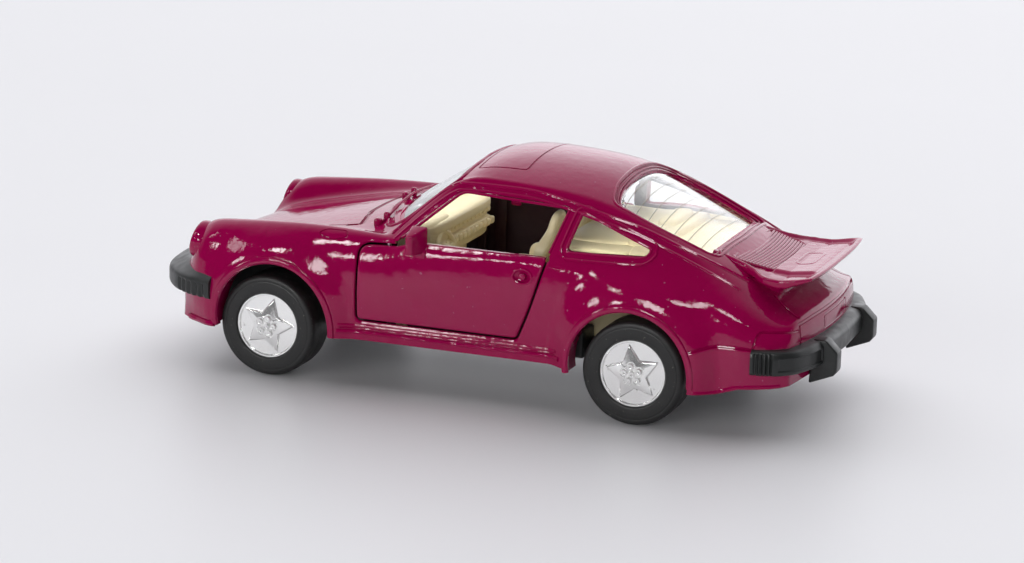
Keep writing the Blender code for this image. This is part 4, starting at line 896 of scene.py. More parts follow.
class NodeTree:
    """Shader nodes of a material or a world, made and joined by name."""

    def __init__(self, owner: Material | bpy.types.World) -> None:
        """Start from the owner's own nodes."""
        owner.use_nodes = True
        self.tree = owner.node_tree

    def feed(self, node: bpy.types.Node, **inputs: float | tuple[float, ...] | Socket) -> None:
        """Set a node's inputs, or lead other nodes' outcomes to them.

        Args:
            node: The node.
            inputs: A value or a socket for each input; an underscore in a name stands for a space.
        """
        for name, value in inputs.items():
            socket = node.inputs[name.replace("_", " ")]
            if isinstance(value, Socket):
                self.tree.links.new(value, socket)
            else:
                socket.default_value = value

    def add(self, kind: str, **inputs: float | tuple[float, ...] | Socket) -> bpy.types.Node:
        """Add a node.

        Args:
            kind: What it does.
            inputs: A value or a socket for each input.

        Returns:
            The node.
        """
        node = self.tree.nodes.new(f"ShaderNode{kind}")
        self.feed(node, **inputs)
        return node

    def band(self, value: Socket, low: float, high: float, start: float = 0.0, end: float = 1.0) -> Socket:
        """Map a value between two limits to another range."""
        node = self.add("MapRange", Value=value, From_Min=low, From_Max=high, To_Min=start, To_Max=end)
        return node.outputs["Result"]

    def blend(self, factor: Socket, first: Triple, second: Triple | Socket) -> Socket:
        """Blend two colours.

        Args:
            factor: Share of the second colour.
            first: The first colour.
            second: The second colour, or the outcome of another blend.

        Returns:
            The blend.
        """
        node = self.add("Mix")
        node.data_type = "RGBA"
        if isinstance(second, tuple):
            second = (*second, 1.0)
        self.feed(node, A=(*first, 1.0), B=second, Factor=factor)
        return node.outputs["Result"]


class NodeSheet(NodeTree):
    """A material's nodes round one Principled shader."""

    def __init__(self, name: str) -> None:
        """Start a material.

        Args:
            name: Its name.
        """
        self.material = bpy.data.materials.new(name)
        super().__init__(self.material)
        self.shader = self.tree.nodes["Principled BSDF"]
        self.place = self.add("TexCoord").outputs["Object"]

    def set(self, **inputs: float | tuple[float, ...] | Socket) -> None:
        """Set the shader's own inputs."""
        self.feed(self.shader, **inputs)

    def noise(self, scale: float, detail: float = 2.0, roughness: float = 0.5) -> Socket:
        """Noise on the piece's own coordinates, in waves per metre."""
        node = self.add("TexNoise", Vector=self.place, Scale=scale, Detail=detail, Roughness=roughness)
        return node.outputs["Fac"]

    def bump(self, height: Socket, strength: float, distance: float) -> None:
        """Raise the surface by a height."""
        node = self.add("Bump", Strength=strength, Distance=distance, Height=height)
        self.set(Normal=node.outputs["Normal"])

    def lamps_pass(self, tint: Triple) -> None:
        """Let rays from lamps straight through, so that what lies behind is lit.

        Args:
            tint: Colour of what passes.
        """
        film = self.add("BsdfTransparent", Color=(*tint, 1.0))
        rays = self.add("LightPath")
        mixer = self.add("MixShader")
        ways = (rays.outputs["Is Shadow Ray"], self.shader.outputs["BSDF"], film.outputs["BSDF"])
        for way, socket in zip(ways, mixer.inputs):
            self.tree.links.new(way, socket)
        self.feed(self.tree.nodes["Material Output"], Surface=mixer.outputs["Shader"])


@dataclass(frozen=True)
class Finish:
    """A mottled colour with specks on it, a roughness that varies and a fine relief.

    Each noise is given by its waves per metre, its detail and its roughness. The specks lie where their
    noise passes its limits, and the relief is given by its strength and its height in metres.
    """

    name: str
    colour: Triple
    shade: Triple
    roughness: Pair
    specks: Triple | None
    mottle_noise: Triple
    speck_noise: Triple
    speck_limits: Pair
    gloss_noise: Triple
    relief_noise: Triple
    relief: Pair
    ior: float = 1.5
    metal: float = 0.0

    def made(self) -> Material:
        """Build the material.

        Returns:
            The material.
        """
        sheet = NodeSheet(self.name)
        colour = sheet.blend(sheet.noise(*self.mottle_noise), self.shade, self.colour)
        if self.specks is not None:
            clean = sheet.band(sheet.noise(*self.speck_noise), *self.speck_limits, 1.0, 0.0)
            colour = sheet.blend(clean, self.specks, colour)
        gloss = sheet.band(sheet.noise(*self.gloss_noise), 0.3, 0.7, *self.roughness)
        sheet.set(Base_Color=colour, Roughness=gloss, IOR=self.ior, Metallic=self.metal)
        sheet.bump(sheet.noise(*self.relief_noise), *self.relief)
        return sheet.material


@dataclass(frozen=True)
class Enamel(Finish):
    """Thick glossy stove enamel, with a faint flow in its surface and a few specks of dust."""

    name: str = "plum_enamel"
    colour: Triple = (0.330, 0.0010, 0.069)
    shade: Triple = (0.280, 0.0009, 0.055)
    roughness: Pair = (0.03, 0.07)
    specks: Triple | None = (0.38, 0.09, 0.18)
    mottle_noise: Triple = (160.0, 3.0, 0.5)
    speck_noise: Triple = (1500.0, 1.0, 0.5)
    speck_limits: Pair = (0.765, 0.795)
    gloss_noise: Triple = (260.0, 3.0, 0.5)
    relief_noise: Triple = (620.0, 4.0, 0.5)
    relief: Pair = (0.4, 0.00014)
    ior: float = 1.41


@dataclass(frozen=True)
class Moulding(Finish):
    """Semi-matt moulded plastic: a little mottled, with a fine grain and perhaps pale specks of dust."""

    roughness: Pair = (0.38, 0.55)
    specks: Triple | None = None
    mottle_noise: Triple = (240.0, 4.0, 0.6)
    speck_noise: Triple = (2300.0, 2.0, 0.7)
    speck_limits: Pair = (0.68, 0.80)
    gloss_noise: Triple = (500.0, 3.0, 0.5)
    relief_noise: Triple = (2600.0, 3.0, 0.5)
    relief: Pair = (0.25, 0.00002)
    ior: float = 1.46


@dataclass(frozen=True)
class Plating(Finish):
    """Bright vacuum plating on plastic: a silvery shine with a soft cloud and a few worn specks."""

    name: str = "bright_plating"
    colour: Triple = (0.97, 0.97, 0.96)
    shade: Triple = (0.90, 0.90, 0.90)
    roughness: Pair = (0.07, 0.20)
    specks: Triple | None = (0.30, 0.29, 0.27)
    mottle_noise: Triple = (420.0, 3.0, 0.5)
    speck_noise: Triple = (1300.0, 3.0, 0.65)
    speck_limits: Pair = (0.69, 0.75)
    gloss_noise: Triple = (700.0, 3.0, 0.5)
    relief_noise: Triple = (900.0, 2.0, 0.5)
    relief: Pair = (0.3, 0.00003)
    metal: float = 0.74


@dataclass(frozen=True)
class ClearPlastic:
    """Clear moulded plastic with a faint ripple."""

    name: str
    colour: Triple = (0.97, 0.98, 0.98)
    ripple: float = 0.00001

    def made(self) -> Material:
        """Build the material.

        Returns:
            The material.
        """
        sheet = NodeSheet(self.name)
        sheet.set(Base_Color=(*self.colour, 1.0), Roughness=0.012, IOR=1.46, Transmission_Weight=1.0)
        sheet.bump(sheet.noise(120.0, 1.0), 0.15, self.ripple)
        sheet.lamps_pass(self.colour)
        return sheet.material


class Finishes:
    """Every finish of the car, each made once."""

    def __init__(self) -> None:
        """Make the materials."""
        dust = (0.16, 0.15, 0.13)
        black = ((0.024, 0.026, 0.026), (0.014, 0.015, 0.015))
        rubber = ((0.022, 0.022, 0.022), (0.013, 0.013, 0.0135))
        overspray_and_shade = ((0.020, 0.0012, 0.006), (0.013, 0.0008, 0.004))
        steel = ((0.60, 0.60, 0.62), (0.48, 0.48, 0.50))
        worn = (0.30, 0.26, 0.22)
        self.paint = Enamel().made()
        # The inner finish is a near-black plum on the hidden faces of the shell and the doors: thin
        # overspray, darkened as painted shade.
        self.overspray_and_shade = Moulding("overspray_and_painted_shade", *overspray_and_shade, (0.5, 0.7)).made()
        self.cream = Moulding("cream_moulding", (0.93, 0.81, 0.51), (0.87, 0.75, 0.45)).made()
        self.black = Moulding("black_moulding", *black, (0.30, 0.48)).made()
        self.rubber = Moulding("tyre_rubber", *rubber, (0.36, 0.55), dust).made()
        self.plating = Plating().made()
        self.steel = Plating("plain_steel", *steel, (0.25, 0.45), worn, metal=1.0).made()
        self.clear = ClearPlastic("clear_moulding").made()
        self.printed = Moulding("printed_line", (0.34, 0.30, 0.22), (0.28, 0.25, 0.18)).made()


@dataclass
class Workshop:
    """Finishes pieces: shading, materials, body and the nodes that they stand for."""

    plan: LinesPlan
    finishes: Finishes
    sharp_angle: float = math.radians(38)

    def deliver(self, obj: Object, materials: list[Material], rider: Rider, slot: Slot,
                *nodes: str) -> Object:
        """Dress a piece and put it on its body.

        Args:
            obj: The piece.
            materials: Its finishes, in the order of its faces' numbers.
            rider: The body that it moves with.
            slot: The record's slot of its finish; not used.
            nodes: The nodes that it stands for.

        Returns:
            The piece.
        """
        mesh = obj.data
        numbers = np.zeros(len(mesh.polygons), dtype=np.int32)
        mesh.polygons.foreach_get("material_index", numbers)
        mesh.materials.clear()
        for material in materials:
            mesh.materials.append(material)
        mesh.polygons.foreach_set("material_index", np.minimum(numbers, len(materials) - 1))
        mesh.shade_smooth()
        mesh.set_sharp_from_angle(angle=self.sharp_angle)
        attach(obj, rider.value)
        if nodes:
            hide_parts(*nodes)
        LOG.info("%s: %d faces on %s", obj.name, len(mesh.polygons), rider.value)
        return obj

    def make(self, name: str, solids: list[Solid], finish: Material, slot: Slot, *nodes: str,
             rider: Rider = Rider.BODY) -> None:
        """Make a piece of solids in one finish, and deliver it."""
        self.deliver(put_mesh(name, Solid.joined(solids)), [finish], rider, slot, *nodes)


@dataclass
class SubAssembly:
    """A group of pieces that one workshop makes."""

    shop: Workshop

    @property
    def plan(self) -> LinesPlan:
        """The car's lines plan."""
        return self.shop.plan


# Painted body


@dataclass
class Openings:
    """Outlines that the shell, the doors and the glazing share, in plan mm, and their zones of the skin."""

    door: Points = (
        (15.8, 11.25), (43.6, 11.25), (45.8, 16.5), (48.4, 25.35), (24.8, 25.3), (22.8, 24.4),
        (15.8, 24.05))
    door_corners: tuple[float, ...] = (1.2, 0.8, 3.0, 1.3, 1.0, 0.8, 2.2)
    door_sill_height: float = 24.75
    door_window: Points = (
        (22.4, 23.4), (23.0, 25.3), (31.9, 33.0), (50.0, 32.1), (48.2, 25.6), (47.6, 23.4))
    window_corners: tuple[float, ...] = (0.3, 0.3, 1.3, 0.7, 0.5, 0.3)
    quarter: Points = ((51.0, 26.2), (52.3, 31.5), (64.0, 27.1), (63.2, 26.3))
    quarter_corners: tuple[float, ...] = (0.35, 0.35, 0.9, 0.9)
    windscreen: Points = (
        (0, 27.5), (8, 27.2), (13, 26.8), (16.0, 26.5), (13.7, 33.5), (7, 34.9), (0, 35.3))
    windscreen_corner: float = 2.0
    windscreen_frame: float = 0.85
    screen_span: Pair = (8.0, 36.0)
    rear_window: Points = (
        (0, 56.0), (9.0, 56.3), (13.2, 57.2), (13.6, 61.0), (13.4, 65.0), (12.3, 71.2), (11.3, 72.2),
        (0, 72.9))
    rear_frame: Points = (
        (0, 54.7), (9.4, 55.0), (14.2, 56.1), (14.6, 61.0), (14.4, 65.0), (13.4, 72.0), (12.5, 73.4),
        (0, 74.0))
    rear_corner: float = 1.7
    rear_span: Pair = (20.0, 45.0)
    rim: Points = (
        (-40, 7.6), (-15, 7.6), (-9, 7.8), (12.5, 8.0), (52.5, 8.0), (72.0, 6.6), (76.5, 6.7), (80, 7.8),
        (86, 8.2), (89, 8.8), (110, 8.8))
    step: float = 0.3
    door_zone: Zone = (View.SIDE, ("hood_rear", "window_mid"), (4.4, 8.9))
    screen_zone: Zone = (View.END, ("cowl", "roof_front"), (0.0, 5.0))
    rear_zone: Zone = (View.PLAN, ("roof_rear", "deck_mid"), (0.0, 4.2))
    quarter_zone: Zone = (View.SIDE, ("roof_rear", "window_base"), (3.6, 5.8))
    sill_zone: Zone = (View.SIDE, ("hood_mid", "window_mid"), (6.8, 8.9))

    def door_line(self, out: float) -> Array:
        """The door's closed outline, moved outwards."""
        return grown(rounded(self.door, self.door_corners, self.step), out)

    def screen_line(self) -> Array:
        """The windscreen's outline."""
        return rounded(both_halves(self.windscreen), self.windscreen_corner, self.step)

    def rear_line(self, half: Points) -> Array:
        """The outline of the rear window or of its frame, from its left half."""
        return rounded(both_halves(half), self.rear_corner, self.step)

    def quarter_line(self) -> Array:
        """The quarter window's outline."""
        return rounded(self.quarter, self.quarter_corners, self.step)

    def door_jamb(self, out: float) -> Array:
        """The open part of the door's outline: front, bottom and rear, without the window's sill.

        Args:
            out: How far the outline is moved outwards.

        Returns:
            Points along the open line.
        """
        line = self.door_line(out)
        sill = (line[:, 1] > self.door_sill_height) & (line[:, 0] > 20.0)
        start = np.flatnonzero(sill & ~np.roll(sill, -1))[0] + 1
        return np.roll(line, -start, axis=0)[: np.count_nonzero(~sill)]


@dataclass
class CastLine:
    """A line cast in the shell: a groove where it is carved, a ridge where it is taken in."""

    points: Points
    view: View
    stations: tuple[str, str]
    rails: Pair
    radius: float = 0.16
    sink: float = 0.02
    corner: float = 0.8
    closed: bool = False
    both: bool = False
    faired: bool = False

    def bead(self, plan: LinesPlan) -> Solid:
        """The line as a round bead on the skin.

        Args:
            plan: The car's lines plan.

        Returns:
            The bead.
        """
        if self.faired:
            line = fair(self.points, 0.25)
        else:
            line = rounded(self.points, self.corner, 0.25, self.closed)
        trace = plan.trace(line, self.view, self.stations, self.rails, self.closed)
        made = trace.bead(self.radius, self.sink)
        return made.both() if self.both else made


@dataclass
class BodyShell(SubAssembly):
    """The painted shell: the skin with its openings, cast lines, lips and rails."""

    openings: Openings
    spacing: float = 0.5
    wall: float = 1.1
    edge: float = 0.24
    door_edge: float = 0.36
    far: float = 60.0
    arches: tuple[tuple[Pair, float, tuple[str, str]], ...] = (
        ((1.55, 9.4), 10.1, ("nose_lip", "screen_mid")),
        ((62.6, 8.8), 10.05, ("roof_rear", "deck_end")),
    )
    arch_flange: Pair = (0.7, 4.2)
    lamp: Triple = (17.6, -13.75, 20.5)
    lamp_radius: float = 2.5
    lamp_tilt: float = math.radians(15.0)
    frame_steps: tuple[Pair, ...] = ((0.3, 0.3), (0.72, 0.62))
    flange_start: float = 24.0
    drip_rail: Points = (
        (20.9, 25.5), (25.0, 29.6), (29.6, 33.4), (33.0, 34.15), (42.8, 34.05), (49.5, 33.0),
        (54.75, 31.8), (61.3, 30.15), (67.8, 27.7), (74.2, 25.0), (78.6, 22.9))
    drip_rows: tuple[Pair, ...] = ((0.0, 0.38), (0.95, 0.28))
    wiper_lines: tuple[Points, ...] = (
        ((13.5, 16.0), (11.4, 16.9), (6.0, 17.2), (2.0, 17.6)),
        ((1.6, 15.9), (-0.6, 16.5), (-6.0, 17.4), (-10.0, 18.7)),
    )

    def outer(self) -> Solid:
        """The car's whole outside as a solid."""
        u, v = self.plan.even_parameters(self.spacing, ("chin_low", "tail_low"), 9.0)
        return self.plan.solid(u, v, 0.0, -4.0)

    def inner(self, inset: float) -> Solid:
        """The space inside the wall, one point per station and rail."""
        plan = self.plan
        return plan.solid(np.arange(plan.last_u + 1.0), np.arange(plan.last_v + 1.0), inset, -8.0)

    def under_roof(self, inset: float) -> Solid:
        """The space under the cabin's skin at a small depth, finely sampled."""
        u, v = self.plan.even_parameters(0.6, ("hood_rear", "deck_end"), 5.0)
        return self.plan.solid(u, v, inset, -8.0)

    def pierce(self, shell: Object, line: Array) -> None:
        """Cut a side outline through the whole shell."""
        carve(shell, self.plan.prism(line, View.SIDE, -self.far, self.far))

    def sunk(self, line: Array, view: View, span: Pair, depth: float) -> Object:
        """A cutter that lowers the skin inside an outline by a depth, over a span along its view."""
        tool = put_mesh("sunk", self.plan.prism(line, view, *span))
        return carve(tool, self.under_roof(depth))

    def cut_openings(self, shell: Object) -> None:
        """Cut the cavity, the rim, the arches, the doors and the windows with their stepped frames.

        Args:
            shell: The shell to cut.
        """
        shapes = self.openings
        # The cavity's faces take the dark inner finish: painted shade inside the shell.
        carve(shell, self.inner(self.wall), finish=1)
        rim = np.array([*shapes.rim, (110, -20), (-40, -20)], dtype=float)
        self.pierce(shell, rim)
        for centre, radius, _ in self.arches:
            self.pierce(shell, arc(centre, radius, 0.0, 360.0, 121)[:-1])
        self.pierce(shell, shapes.door_line(self.door_edge))
        window = rounded(shapes.door_window, shapes.window_corners, shapes.step)
        for line in (window, shapes.quarter_line()):
            self.pierce(shell, grown(line, self.edge))
        screen = shapes.screen_line()
        carve(shell, self.sunk(grown(screen, shapes.windscreen_frame), View.END, shapes.screen_span, 0.3))
        carve(shell, self.plan.prism(grown(screen, self.edge), View.END, *shapes.screen_span))
        frame = shapes.rear_line(shapes.rear_frame)
        for inward, depth in self.frame_steps:
            carve(shell, self.sunk(grown(frame, -inward), View.PLAN, shapes.rear_span, depth))
        window = shapes.rear_line(shapes.rear_window)
        carve(shell, self.plan.prism(grown(window, self.edge), View.PLAN, *shapes.rear_span))

    def edges(self) -> list[Solid]:
        """The rounded edges of every opening, and the raised lines round the windows.

        Returns:
            The beads.
        """
        plan = self.plan
        shapes = self.openings
        edge = self.edge
        jamb = plan.trace(shapes.door_jamb(self.door_edge), *shapes.door_zone, False)
        made = [jamb.bead(self.door_edge, self.door_edge).both()]
        screen = shapes.screen_line()
        window = shapes.rear_line(shapes.rear_window)
        frame = shapes.rear_line(shapes.rear_frame)
        for line, out, zone, radius, sink in (
            (screen, edge, shapes.screen_zone, edge, edge + 0.18),
            (screen, shapes.windscreen_frame + 0.1, shapes.screen_zone, 0.28, 0.05),
            (frame, 0.0, shapes.rear_zone, 0.28, 0.08),
            (frame, -0.72, shapes.rear_zone, 0.16, 0.36),
            (window, edge, shapes.rear_zone, edge, self.frame_steps[1][1] + edge - 0.1),
        ):
            made.append(plan.trace(grown(line, out), *zone, True).bead(radius, sink))
        quarter = shapes.quarter_line()
        for out, radius, sink in ((edge, edge, edge - 0.16), (1.15, 0.26, 0.06)):
            trace = plan.trace(grown(quarter, out), *shapes.quarter_zone, True)
            made.append(trace.bead(radius, sink).both())
        line = rounded(shapes.door_window[1:5], shapes.window_corners[1:5], shapes.step, False)
        trace = plan.trace(line, View.SIDE, ("screen_low", "window_mid"), (3.4, 5.3), False)
        made.append(trace.bead(edge, edge - 0.12).both())
        return made

    def jamb_flange(self) -> list[Solid]:
        """The rebate behind the door's bottom and rear edges: a flat bead below the door's wall, in the dark
        inner finish that paints the shade in the door's gap.

        Returns:
            The beads of both sides.
        """
        line = self.openings.door_jamb(-0.45)
        line = line[line[:, 0] > self.flange_start]
        trace = self.plan.trace(line, *self.openings.door_zone, False)
        return [trace.bead(1.0, 1.75, 0.22).both()]

    def arch_lips(self) -> list[Solid]:
        """Rolled lips round the wheel arches, and the flange that each turns in to.

        The flange is a rectangle carried round the arch: its depth runs in from the skin.

        Returns:
            The lips and flanges.
        """
        made = []
        thick, deep = self.arch_flange
        for centre, radius, stations in self.arches:
            line = arc(centre, radius + 0.3, 187.0, -7.0, 120)
            trace = self.plan.trace(line, View.SIDE, stations, (4.8, 9.0), False)
            made.append(trace.bead(0.62, 0.14, 0.8).both())
            middle = self.plan.metres((0.0, *centre))
            radial = unit((trace.points - middle) * np.array([0.0, 1.0, 1.0]))
            inward = np.array([-deep * MM, 0.0, 0.0])
            start = trace.points - radial * 0.28 * MM - np.array([0.12 * MM, 0.0, 0.0])
            end = start + radial * thick * MM
            made.append(tube(np.stack([start, end, end + inward, start + inward], axis=1)).both())
        return made

    def drip_rails(self) -> list[Solid]:
        """The raised double rail over the doors, from the windscreen pillar's foot to the rear deck.

        Returns:
            The rails of both sides.
        """
        line = fair(self.drip_rail, 0.3)
        made = []
        for drop, radius in self.drip_rows:
            along = unit(np.gradient(line, axis=0))
            below = line + np.stack([along[:, 1], -along[:, 0]], axis=1) * drop
            trace = self.plan.trace(below, View.SIDE, ("screen_low", "deck_end"), (2.4, 5.2), False)
            made.append(trace.bead(radius, radius * 0.35).both())
        return made

    def grooves(self) -> list[CastLine]:
        """Lines sunk in the shell: sunroof, hood, fuel flap, sills, rear seams, tail panels and lid.

        Returns:
            The lines.
        """
        sill = self.openings.sill_zone
        deck = ("window_mid", "tail_edge")
        tail = ("deck_end", "tail_mid")
        return [
            CastLine([(11.0, 32.2), (11.0, 40.6), (-11.0, 40.6), (-11.0, 32.2)], View.PLAN,
                ("screen_mid", "roof_rear"), (0.0, 3.6), 0.19, closed=True),
            CastLine(both_halves([(0.0, -16.6), (8.6, -15.6), (10.6, -8.0), (12.0, 2.0), (13.2, 11.0),
                (12.8, 12.9), (5.4, 11.3), (0.0, 11.0)]), View.PLAN, ("nose_lip", "screen_low"),
                (0.0, 4.2), 0.17, closed=True),
            CastLine([(13.25, 10.2), (13.0, 12.8), (5.4, 11.25), (-5.4, 11.25), (-13.0, 12.8),
                (-13.25, 10.2)], View.PLAN, ("hood_mid", "screen_low"), (0.0, 4.2), 0.5, 0.1),
            CastLine([(20.2, 8.3), (19.3, 9.6), (19.3, 13.0), (20.3, 13.7), (20.7, 11.4)], View.PLAN,
                ("hood_mid", "screen_mid"), (4.4, 6.4), 0.15, closed=True),
            CastLine([(13.4, 10.0), (30.0, 10.0), (50.2, 10.0)], *sill, 0.17, both=True, faired=True),
            CastLine([(72.6, 13.45), (76.0, 14.4), (78.6, 14.5), (81.9, 14.3)], View.SIDE, deck,
                (5.6, 8.6), 0.26, both=True, faired=True),
            CastLine([(81.95, 14.2), (82.7, 16.95), (86.7, 16.75)], View.SIDE, deck, (4.6, 8.4), 0.24,
                corner=0.5, both=True),
            CastLine([(18.6, 16.75), (15.5, 16.5)], View.END, tail, (3.0, 8.0), 0.24, both=True),
            CastLine([(15.4, 17.7), (15.4, 14.0)], View.END, tail, (2.0, 8.0), 0.26, both=True),
            CastLine([(15.3, 17.5), (8.0, 17.8), (-8.0, 17.8), (-15.3, 17.5)], View.END, tail, (0.0, 8.0),
                0.34, faired=True),
            CastLine([(12.4, 82.4), (14.75, 87.5)], View.PLAN, deck, (0.0, 6.0), 0.24, both=True),
            CastLine([(6.2, 14.8), (6.2, 16.9), (-6.2, 16.9), (-6.2, 14.8)], View.END, tail, (0.0, 5.0),
                0.15, corner=0.5, closed=True),
        ]

    def ridges(self) -> list[CastLine]:
        """Lines that stand up from the shell: along the sills, the rear seams and the cowl.

        Returns:
            The lines.
        """
        sill = self.openings.sill_zone
        deck = ("window_mid", "tail_edge")
        return [
            CastLine([(13.2, 10.45), (30.0, 10.45), (50.4, 10.45)], *sill, 0.28, 0.1, both=True, faired=True),
            CastLine([(12.9, 9.35), (30.0, 9.35), (51.0, 9.35)], *sill, 0.46, 0.16, both=True, faired=True),
            CastLine([(72.6, 13.05), (76.0, 14.0), (78.6, 14.1), (82.0, 13.9)], View.SIDE, deck,
                (5.6, 8.6), 0.2, 0.08, both=True, faired=True),
            CastLine([(73.6, 6.95), (76.5, 7.05), (80.0, 8.15), (86.0, 8.55)], View.SIDE, deck,
                (6.6, 9.0), 0.42, 0.3, both=True, faired=True),
            CastLine([(-15.0, 8.0), (-12.0, 8.0), (-8.9, 8.05)], View.SIDE, ("nose_lip", "hood_mid"),
                (6.6, 9.0), 0.6, 0.15, both=True, faired=True),
            CastLine([(15.8, 8.0), (9.0, 8.0), (-9.0, 8.0), (-15.8, 8.0)], View.END,
                ("chin_low", "nose_lip"), (0.0, 9.0), 0.6, 0.15, faired=True),
            CastLine([(16.9, 15.2), (17.6, 16.6), (16.6, 18.4)], View.PLAN, ("hood_rear", "screen_mid"),
                (2.0, 5.0), 0.16, 0.04, both=True, faired=True),
        ]

    def lamp_frame(self, side: int) -> Matrix:
        """A headlamp's place on the left, 1, or the right, -1; its own +Z is the way that it faces."""
        ahead = (0.0, -math.cos(self.lamp_tilt), math.sin(self.lamp_tilt))
        return facing(self.plan.metres(self.lamp) * np.array([side, 1.0, 1.0]), ahead)

    def cut_lamps(self, shell: Object) -> list[Solid]:
        """Bore the headlamps and make a raised ring round each.

        Args:
            shell: The shell to bore.

        Returns:
            The rings.
        """
        bore = self.lamp_radius + 0.15
        angle = full_turn(20)
        rings = []
        for side in (-1, 1):
            place = self.lamp_frame(side)
            ends = np.array([[0.0, -1.5], [bore, -1.5], [bore, 8.0], [0.0, 8.0]]) * MM
            carve(shell, turned(ends, 64).moved(place))
            ring = np.stack([bore + 0.25 + 0.4 * np.cos(angle), -0.75 + 1.5 * np.sin(angle)], axis=1) * MM
            rings.append(turned(ring, 72, closed=True).moved(place))
        return rings

    def wipers(self) -> list[Solid]:
        """Two cast wipers: each a blade along the glass's foot, with a knob at its start and on its arm.

        Returns:
            The blades and knobs.
        """
        plan = self.plan
        made = []
        for knots in self.wiper_lines:
            trace = plan.trace(fair(knots, 0.3), View.PLAN, ("cowl", "screen_top"), (0.0, 4.4), False)
            made.append(trace.bead(0.22, -0.2))
            for at, size in ((0, 0.62), (7, 0.5)):
                knob = trace.points[at] + trace.normals[at] * 0.35 * MM
                made.append(superquad(knob, (size, size, 0.75), 0.6, (14, 20)))
        return made

    def build(self) -> Object:
        """Make the whole shell.

        Returns:
            The finished piece.
        """
        plan = self.plan
        shell = put_mesh("painted_shell", self.outer())
        self.cut_openings(shell)
        rings = self.cut_lamps(shell)
        for line in self.grooves():
            carve(shell, line.bead(plan))
        ridges = [line.bead(plan) for line in self.ridges()]
        rails = self.drip_rails()
        taken_in(shell, [*self.edges(), *self.arch_lips(), *rails, *rings, *ridges, *self.wipers()])
        # The rebate takes the dark inner finish: painted shade in the door's gap.
        taken_in(shell, self.jamb_flange(), 1)
        finishes = [self.shop.finishes.paint, self.shop.finishes.overspray_and_shade]
        return self.shop.deliver(shell, finishes, Rider.BODY, Slot.PAINT, "body_shell")


@dataclass
class Doors(SubAssembly):
    """Both doors, cut from the same skin as the shell, with rounded edges, a handle and a mirror."""

    shell: BodyShell
    gap: float = 0.3
    wall: float = 1.3
    edge: float = 0.36
    reach: Pair = (14.0, 32.0)
    handle: Pair = (44.25, 21.7)
    handle_half: Pair = (1.6, 1.15)
    mirror_plan: Points = ((20.8, 25.0), (24.1, 25.2), (24.1, 26.3), (21.7, 27.5), (20.8, 27.8))
    mirror_heights: Triple = (23.4, 26.5, 27.7)
    mirror_foot: Triple = (21.0, 26.8, 23.3)
    hinge: Triple = (20.0, 20.8, 16.8)

    def handle_trace(self, size: float) -> Trace:
        """An oval round the handle's middle, laid on the skin."""
        oval = arc((0.0, 0.0), size, 0.0, 360.0, 61)[:-1] * np.array(self.handle_half) + np.array(self.handle)
        return self.plan.trace(oval, View.SIDE, ("roof_front", "window_mid"), (5.0, 8.0), True)

    def handle_solids(self) -> list[Solid]:
        """The oval handle: a raised ring and a push button in its dish.

        Returns:
            The ring and the button.
        """
        middle = self.handle_trace(0.01)
        place = middle.points[0] - middle.normals[0] * 0.15 * MM
        button = superquad(place, (0.42, 0.62, 0.5), 0.75, (16, 24))
        return [self.handle_trace(1.0).bead(0.22, 0.07), button]

    def mirror_solids(self) -> list[Solid]:
        """The door mirror: a plan outline carried up to a top that slopes down outwards, and a foot.

        Returns:
            The head and the foot.
        """
        low, outer_top, inner_top = self.mirror_heights
        line = np.array(self.mirror_plan)
        share = (line[:, 0].max() - line[:, 0]) / np.ptp(line[:, 0])
        tops = outer_top + (inner_top - outer_top) * share
        rings = np.stack([np.c_[line, np.full(len(line), low)], np.c_[line, tops]])
        head = bevelled(tube(self.plan.metres(rings)), 0.3)
        foot = superquad(self.plan.metres(self.mirror_foot), (1.0, 1.0, 0.9), 0.5)
        return [head, foot]

    def hinge_solids(self) -> list[Solid]:
        """The boss that the hinge pin passes through and its web to the door's skin.

        Returns:
            The boss and the web.
        """
        place = self.plan.metres(self.hinge)
        boss = superquad(place, (0.8, 0.8, 5.0), 0.35)
        web = superquad(place + np.array([0.9, 0.0, -0.6]) * MM, (1.0, 0.5, 3.9), 0.35)
        return [boss, web]

    def build(self, outer: Solid) -> None:
        """Make the left door and its mirror image.

        Args:
            outer: The car's outside.
        """
        cut = self.shell.openings.door_line(-self.gap - self.edge)
        door = put_mesh("door_panel_left", outer)
        carve(door, self.plan.prism(cut, View.SIDE, *self.reach), "INTERSECT")
        # The door's inner faces and its hinge boss take the dark inner finish: painted shade inside the door.
        carve(door, self.shell.inner(self.wall), finish=1)
        trace = self.plan.trace(cut, *self.shell.openings.door_zone, True)
        middle = self.handle_trace(0.01).points[0]
        across, up = self.handle_half
        carve(door, superquad(middle, (0.5, across * 0.9, up * 0.9), 1.0, (24, 40)))
        taken_in(door, [trace.bead(self.edge, self.edge), *self.handle_solids(), *self.mirror_solids()])
        taken_in(door, self.hinge_solids(), 1)
        other = door.copy()
        other.data = door.data.copy()
        other.name = "door_panel_right"
        bpy.context.scene.collection.objects.link(other)
        other.data.transform(Matrix.Scale(-1.0, 4, (1.0, 0.0, 0.0)))
        other.data.flip_normals()
        finishes = [self.shop.finishes.paint, self.shop.finishes.overspray_and_shade]
        self.shop.deliver(door, finishes, Rider.LEFT_DOOR, Slot.PAINT, "door_left")
        self.shop.deliver(other, finishes, Rider.RIGHT_DOOR, Slot.PAINT, "door_right")


# Clear parts


